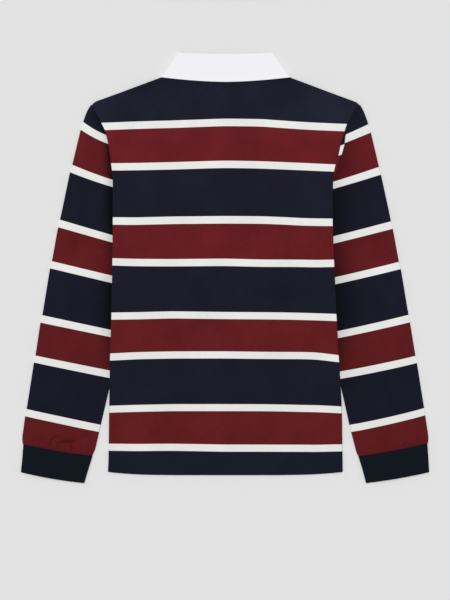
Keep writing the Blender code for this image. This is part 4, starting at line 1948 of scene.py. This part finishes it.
def neck_line(edge: NeckEdge, under: float, top: float) -> tuple[np.ndarray, np.ndarray]:
    """Points and outward directions along a band, from one end round the back to the other.

    Args:
        edge: The line.
        under: Height of the front's lower face.
        top: Height of the back's upper face.

    Returns:
        Points and directions, one row each.
    """
    radius = (top - under) / 2
    halves = []
    for sign, side in ((-1, edge.left), (1, edge.right)):
        turn = np.array([side[0] - sign * radius * FOLD_SHAPE[0], side[1]])
        bend = np.array([sign * edge.front_bend[0], edge.front_bend[1]])
        end = np.array([sign * edge.front_end[0], edge.front_end[1]])
        t = np.linspace(0.0, 1.0, FRONT_POINTS)[:, None]
        front = (end * (1 - t) + bend * t) * (1 - t) + (bend * (1 - t) + turn * t) * t
        points = [(*p, under) for p in front]
        normals = [(0.0, 0.0, -1.0)] * len(points)
        for angle in math.pi * np.arange(1, FOLD_STEPS) / FOLD_STEPS:
            out = np.array([sign * math.sin(angle), 0.0, -math.cos(angle)])
            points.append(np.array([*turn, under + radius]) + radius * out * FOLD_SHAPE)
            normals.append(out)
        halves.append((np.array(points), np.array(normals)))
    share = np.linspace(0.0, 1.0, BACK_POINTS)
    fold = radius * FOLD_SHAPE[0]
    x = edge.left[0] + fold + (edge.right[0] - edge.left[0] - 2 * fold) * share
    bow = edge.back_bow * (1 - np.abs(2 * share - 1) ** BACK_ROUNDNESS)
    y = edge.left[1] + (edge.right[1] - edge.left[1]) * share - bow
    back = np.stack([x, y, np.full_like(x, top)], axis=-1)
    up = np.tile((0.0, 0.0, 1.0), (len(x), 1))
    points = np.concatenate([halves[0][0], back, halves[1][0][::-1]])
    normals = np.concatenate([halves[0][1], up, halves[1][1][::-1]])
    return points, normals


@dataclass
class Collar:
    """The collar leaf on its stand, with the leaf's edge stitches."""

    leaf_top: float = 5.1  # height of the leaf's upper face at the back
    stand_under: float = 1.3  # height of the stand's lower face at the front
    stand_top: float = 3.6  # height of its upper face at the back
    wall: float = 1.0
    roll: float = 1.2  # radius of the leaf's turned edge
    depth: float = 38.0  # width of a band, from its first edge to its second
    stitch_inset: float = 5.2  # how far the stitches lie from the leaf's free edge
    edge_swell: float = 0.28  # how much thicker the leaf is where its free edge is turned in
    swell_width: float = 7.0
    groove: float = 0.3  # depth of the stitches' groove
    groove_width: float = 0.55

    def leaf_lift(self, to_edge: float) -> float:
        """How far the leaf's face stands up at this distance from its free edge."""
        swell = self.edge_swell * float(smooth_step(np.array(self.swell_width - to_edge), 0.0, 2.0))
        return swell - self.groove * bell(to_edge - self.stitch_inset, self.groove_width)

    def turned_edge(self, start: np.ndarray, outward: np.ndarray, normals: np.ndarray) -> tuple[list, ...]:
        """Turn a band's first edge in.

        Args:
            start: Points along the edge.
            outward: Directions away from the band.
            normals: Directions out of its face.

        Returns:
            Rows of outer points, rows of inner points and their places across the band.
        """
        outer, inner, far = [], [], []
        for angle in np.linspace(math.pi / 2, 0.12, 7):
            for rows, radius in ((outer, self.roll), (inner, self.roll - self.wall)):
                shift = radius * math.sin(angle) - self.roll
                sink = self.roll - radius * math.cos(angle)
                rows.append(start + outward * shift - normals * sink)
            far.append(-self.roll * angle)
        return outer, inner, far

    def band(
        self, name: str, first: NeckEdge, second: NeckEdge, under: float, top: float, rolled: bool
    ) -> bpy.types.Object:
        """Make one collar band.

        Args:
            name: Name of the piece.
            first: Its edge at the roll or the neck.
            second: Its other edge.
            under: Height of the front's lower face.
            top: Height of the back's upper face.
            rolled: True turns the first edge in, as the leaf does over the stand.

        Returns:
            The piece.
        """
        half = self.wall / 2
        places = spaced(self.depth, 1.3, RIM) / self.depth
        lines = [neck_line(mixed(first, second, place), under, top) for place in places]
        start, normals = lines[0]
        beside = neck_line(mixed(first, second, 0.05), under, top)[0]
        outward = (start - beside) * np.array([1.0, 1.0, 0.0])
        outward /= np.linalg.norm(outward, axis=1)[:, None]
        outer, inner, far = self.turned_edge(start, outward, normals) if rolled else ([], [], [])
        for place, (points, way) in zip(places, lines):
            to_start, to_edge = place * self.depth, (1 - place) * self.depth
            if rolled and to_start < self.roll + 0.3:
                continue
            share = float(wall_share(np.array(to_edge if rolled else min(to_edge, to_start)), half))
            lift = self.leaf_lift(to_edge) if rolled else 0.0
            outer.append(points + way * (lift + half * (share - 1)))
            inner.append(points - way * (half * (1 + share) - lift))
            far.append(to_start)
        outer, inner = np.array(outer), np.array(inner)
        sunk = np.minimum(outer[..., 2], 0.0)
        outer[..., 2] -= sunk
        inner[..., 2] -= sunk
        around = np.concatenate([[0.0], np.cumsum(np.linalg.norm(np.diff(start, axis=0), axis=1))])
        across, along = np.meshgrid(around, np.array(far))
        return shell(name, outer, inner, np.stack([across, along], axis=-1))

    def build(self, wardrobe: Wardrobe) -> None:
        """Make the leaf, the stand and the stitches.

        Args:
            wardrobe: The materials.
        """
        leaf = self.band("collar", LEAF_ROLL_EDGE, LEAF_FREE_EDGE, 0.0, self.leaf_top, True)
        dress(leaf, wardrobe.twill, Slot.TWILL, "collar_leaf")
        stitched = mixed(LEAF_ROLL_EDGE, LEAF_FREE_EDGE, 1 - self.stitch_inset / self.depth)
        line = neck_line(stitched, 0.0, self.leaf_top)[0]
        back = line[line[:, 2] > self.leaf_top - 0.01][1:-1]
        row = StitchRow(on_surface(leaf, back[:, 0], back[:, 1]), sink=0.1, radius=0.2)
        thread = sewn("collar_stitches", [row])
        dress(thread, wardrobe.white_thread, Slot.TWILL)
        stand = self.band("stand", STAND_NECK_EDGE, STAND_TOP_EDGE, self.stand_under, self.stand_top, False)
        dress(stand, wardrobe.twill, Slot.TWILL, "collar_stand")


BUTTON_PROFILE = (  # from the middle out: share of the radius, share of half the thickness
    (0.0, 0.72),
    (0.55, 0.72),
    (0.66, 0.8),
    (0.8, 1.0),
    (0.92, 0.9),
    (1.0, 0.35),
    (1.0, 0.0),
)


@dataclass
class Placket:
    """Both strips of the hidden front placket and the buttons between them."""

    width: float = 34.0
    top: float = 212.0
    end: float = 108.0
    groove: float = 0.12  # depth of the stitched border
    groove_inset: float = 3.0
    buttons: int = 3

    def strip(self, name: str, node: str, wardrobe: Wardrobe) -> bpy.types.Object:
        """Make one strip with rounded edges and a stitched border.

        Args:
            name: Name of the piece.
            node: The solid it stands in for.
            wardrobe: The materials.

        Returns:
            The piece.
        """
        low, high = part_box(node)
        across = spaced(self.width, 2.0, RIM)
        down = spaced(self.top - self.end, 2.0, RIM)
        s, t = np.meshgrid(across, down)
        x, y = s - self.width / 2, self.top - t
        edge = np.minimum(np.minimum(s, self.width - s), np.minimum(t, self.top - self.end - t))
        half = (high.z - low.z) / MM / 2
        thick = half * wall_share(edge, half) - self.groove * bell(edge - self.groove_inset, 0.6)
        thick = np.maximum(thick, 0.0)
        middle = (high.z + low.z) / MM / 2
        outer = np.stack([x, y, middle + thick], axis=-1)
        inner = np.stack([x, y, middle - thick], axis=-1)
        piece = shell(name, outer, inner, np.stack([x, y], axis=-1))
        dress(piece, wardrobe.twill, Slot.TWILL, node)
        return piece

    def button(self, number: int, wardrobe: Wardrobe) -> None:
        """Make one flat button with a raised rim and a dished middle.

        Args:
            number: Which button, counted from the neck.
            wardrobe: The materials.
        """
        node = f"button_{number}"
        name = f"flat_{node}"
        low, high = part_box(node)
        centre, radius, half = (low + high) / 2, (high.x - low.x) / 2, (high.z - low.z) / 2
        outline = [*BUTTON_PROFILE, *((r, -z) for r, z in BUTTON_PROFILE[-2::-1])]
        bm = bmesh.new()
        line = [bm.verts.new(centre + Vector((radius * r, 0, half * z))) for r, z in outline]
        edges = [bm.edges.new(pair) for pair in zip(line, line[1:])]
        bmesh.ops.spin(
            bm, geom=line + edges, cent=centre, axis=(0, 0, 1), angle=2 * math.pi, steps=48, use_merge=True
        )
        bmesh.ops.remove_doubles(bm, verts=bm.verts, dist=1e-6)
        mesh = bpy.data.meshes.new(name)
        bm.to_mesh(mesh)
        bm.free()
        dress(finish_mesh(name, mesh), wardrobe.rubber, Slot.RUBBER, node)

    def build(self, wardrobe: Wardrobe) -> None:
        """Make both strips and the buttons.

        Args:
            wardrobe: The materials.
        """
        self.strip("placket_over_strip", "placket_over", wardrobe)
        self.strip("placket_under_strip", "placket_under", wardrobe)
        for number in range(1, self.buttons + 1):
            self.button(number, wardrobe)


# ---------------------------------------------------------------------------------------------------
# Stage
# ---------------------------------------------------------------------------------------------------


@dataclass
class Studio:
    """Pale floor, soft light and the camera straight above."""

    view_height: float = 0.768
    view_centre: float = -0.0407
    cloth_level: float = 0.003  # height at which the view is view_height long
    lens: float = 85.0
    sensor: float = 36.0
    floor_colour: Colour = (0.761, 0.761, 0.761)
    floor_reach: float = 30.0
    floor_drop: float = 0.0002  # how far it lies below the shirt
    sky_strength: float = 0.425
    lamp_strength: float = 1.9
    lamp_spread: float = 34.0  # width of the lamp as seen from the shirt, in degrees
    lamp_way: tuple = (0.12, -0.26, -1.0)  # the way that its light falls

    def floor(self) -> None:
        """Lay a wide plain floor under the shirt."""
        mesh = bpy.data.meshes.new("floor")
        reach, drop = self.floor_reach, self.floor_drop
        corners = [(x * reach, y * reach, -drop) for x, y in ((-1, -1), (1, -1), (1, 1), (-1, 1))]
        mesh.from_pydata(corners, [], [(0, 1, 2, 3)])
        material, graph, shader = start_material("studio_floor")
        graph.feed(shader, Base_Color=(*self.floor_colour, 1.0), Roughness=0.95, Specular_IOR_Level=0.0)
        mesh.materials.append(material)
        put("floor", mesh)

    def light(self) -> None:
        """Set an even sky and one wide soft lamp from beyond the collar."""
        world = bpy.data.worlds.new("studio")
        world.use_nodes = True
        sky = world.node_tree.nodes["Background"]
        Graph(world.node_tree).feed(sky, Color=(1.0, 1.0, 1.0, 1.0), Strength=self.sky_strength)
        bpy.context.scene.world = world
        lamp = bpy.data.lights.new("key", "SUN")
        lamp.angle = math.radians(self.lamp_spread)
        lamp.energy = self.lamp_strength
        put("key", lamp).rotation_euler = Vector(self.lamp_way).to_track_quat("-Z", "Y").to_euler()

    def camera(self) -> None:
        """Look straight down with a long lens."""
        data = bpy.data.cameras.new("camera")
        data.lens = self.lens
        data.sensor_width = self.sensor
        item = put("camera", data)
        distance = self.view_height * self.lens / self.sensor
        item.location = (0.0, self.view_centre, distance + self.cloth_level)
        bpy.context.scene.camera = item

    def build(self) -> None:
        """Set up the whole stage."""
        self.floor()
        self.light()
        self.camera()
        bpy.context.scene.view_settings.view_transform = "Standard"


def write_sizes() -> None:
    """Bring the view layer up to date."""
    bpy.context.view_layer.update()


def main() -> None:
    """Build every part of the shirt in order."""
    logging.basicConfig(level=logging.INFO, format="%(name)s %(message)s", stream=sys.stderr)
    Studio().build()
    wardrobe = Wardrobe.build()
    Torso().build(wardrobe)
    for side in Side:
        Sleeve(side).build(wardrobe)
    Collar().build(wardrobe)
    Placket().build(wardrobe)
    write_sizes()


if __name__ == "__main__":
    main()
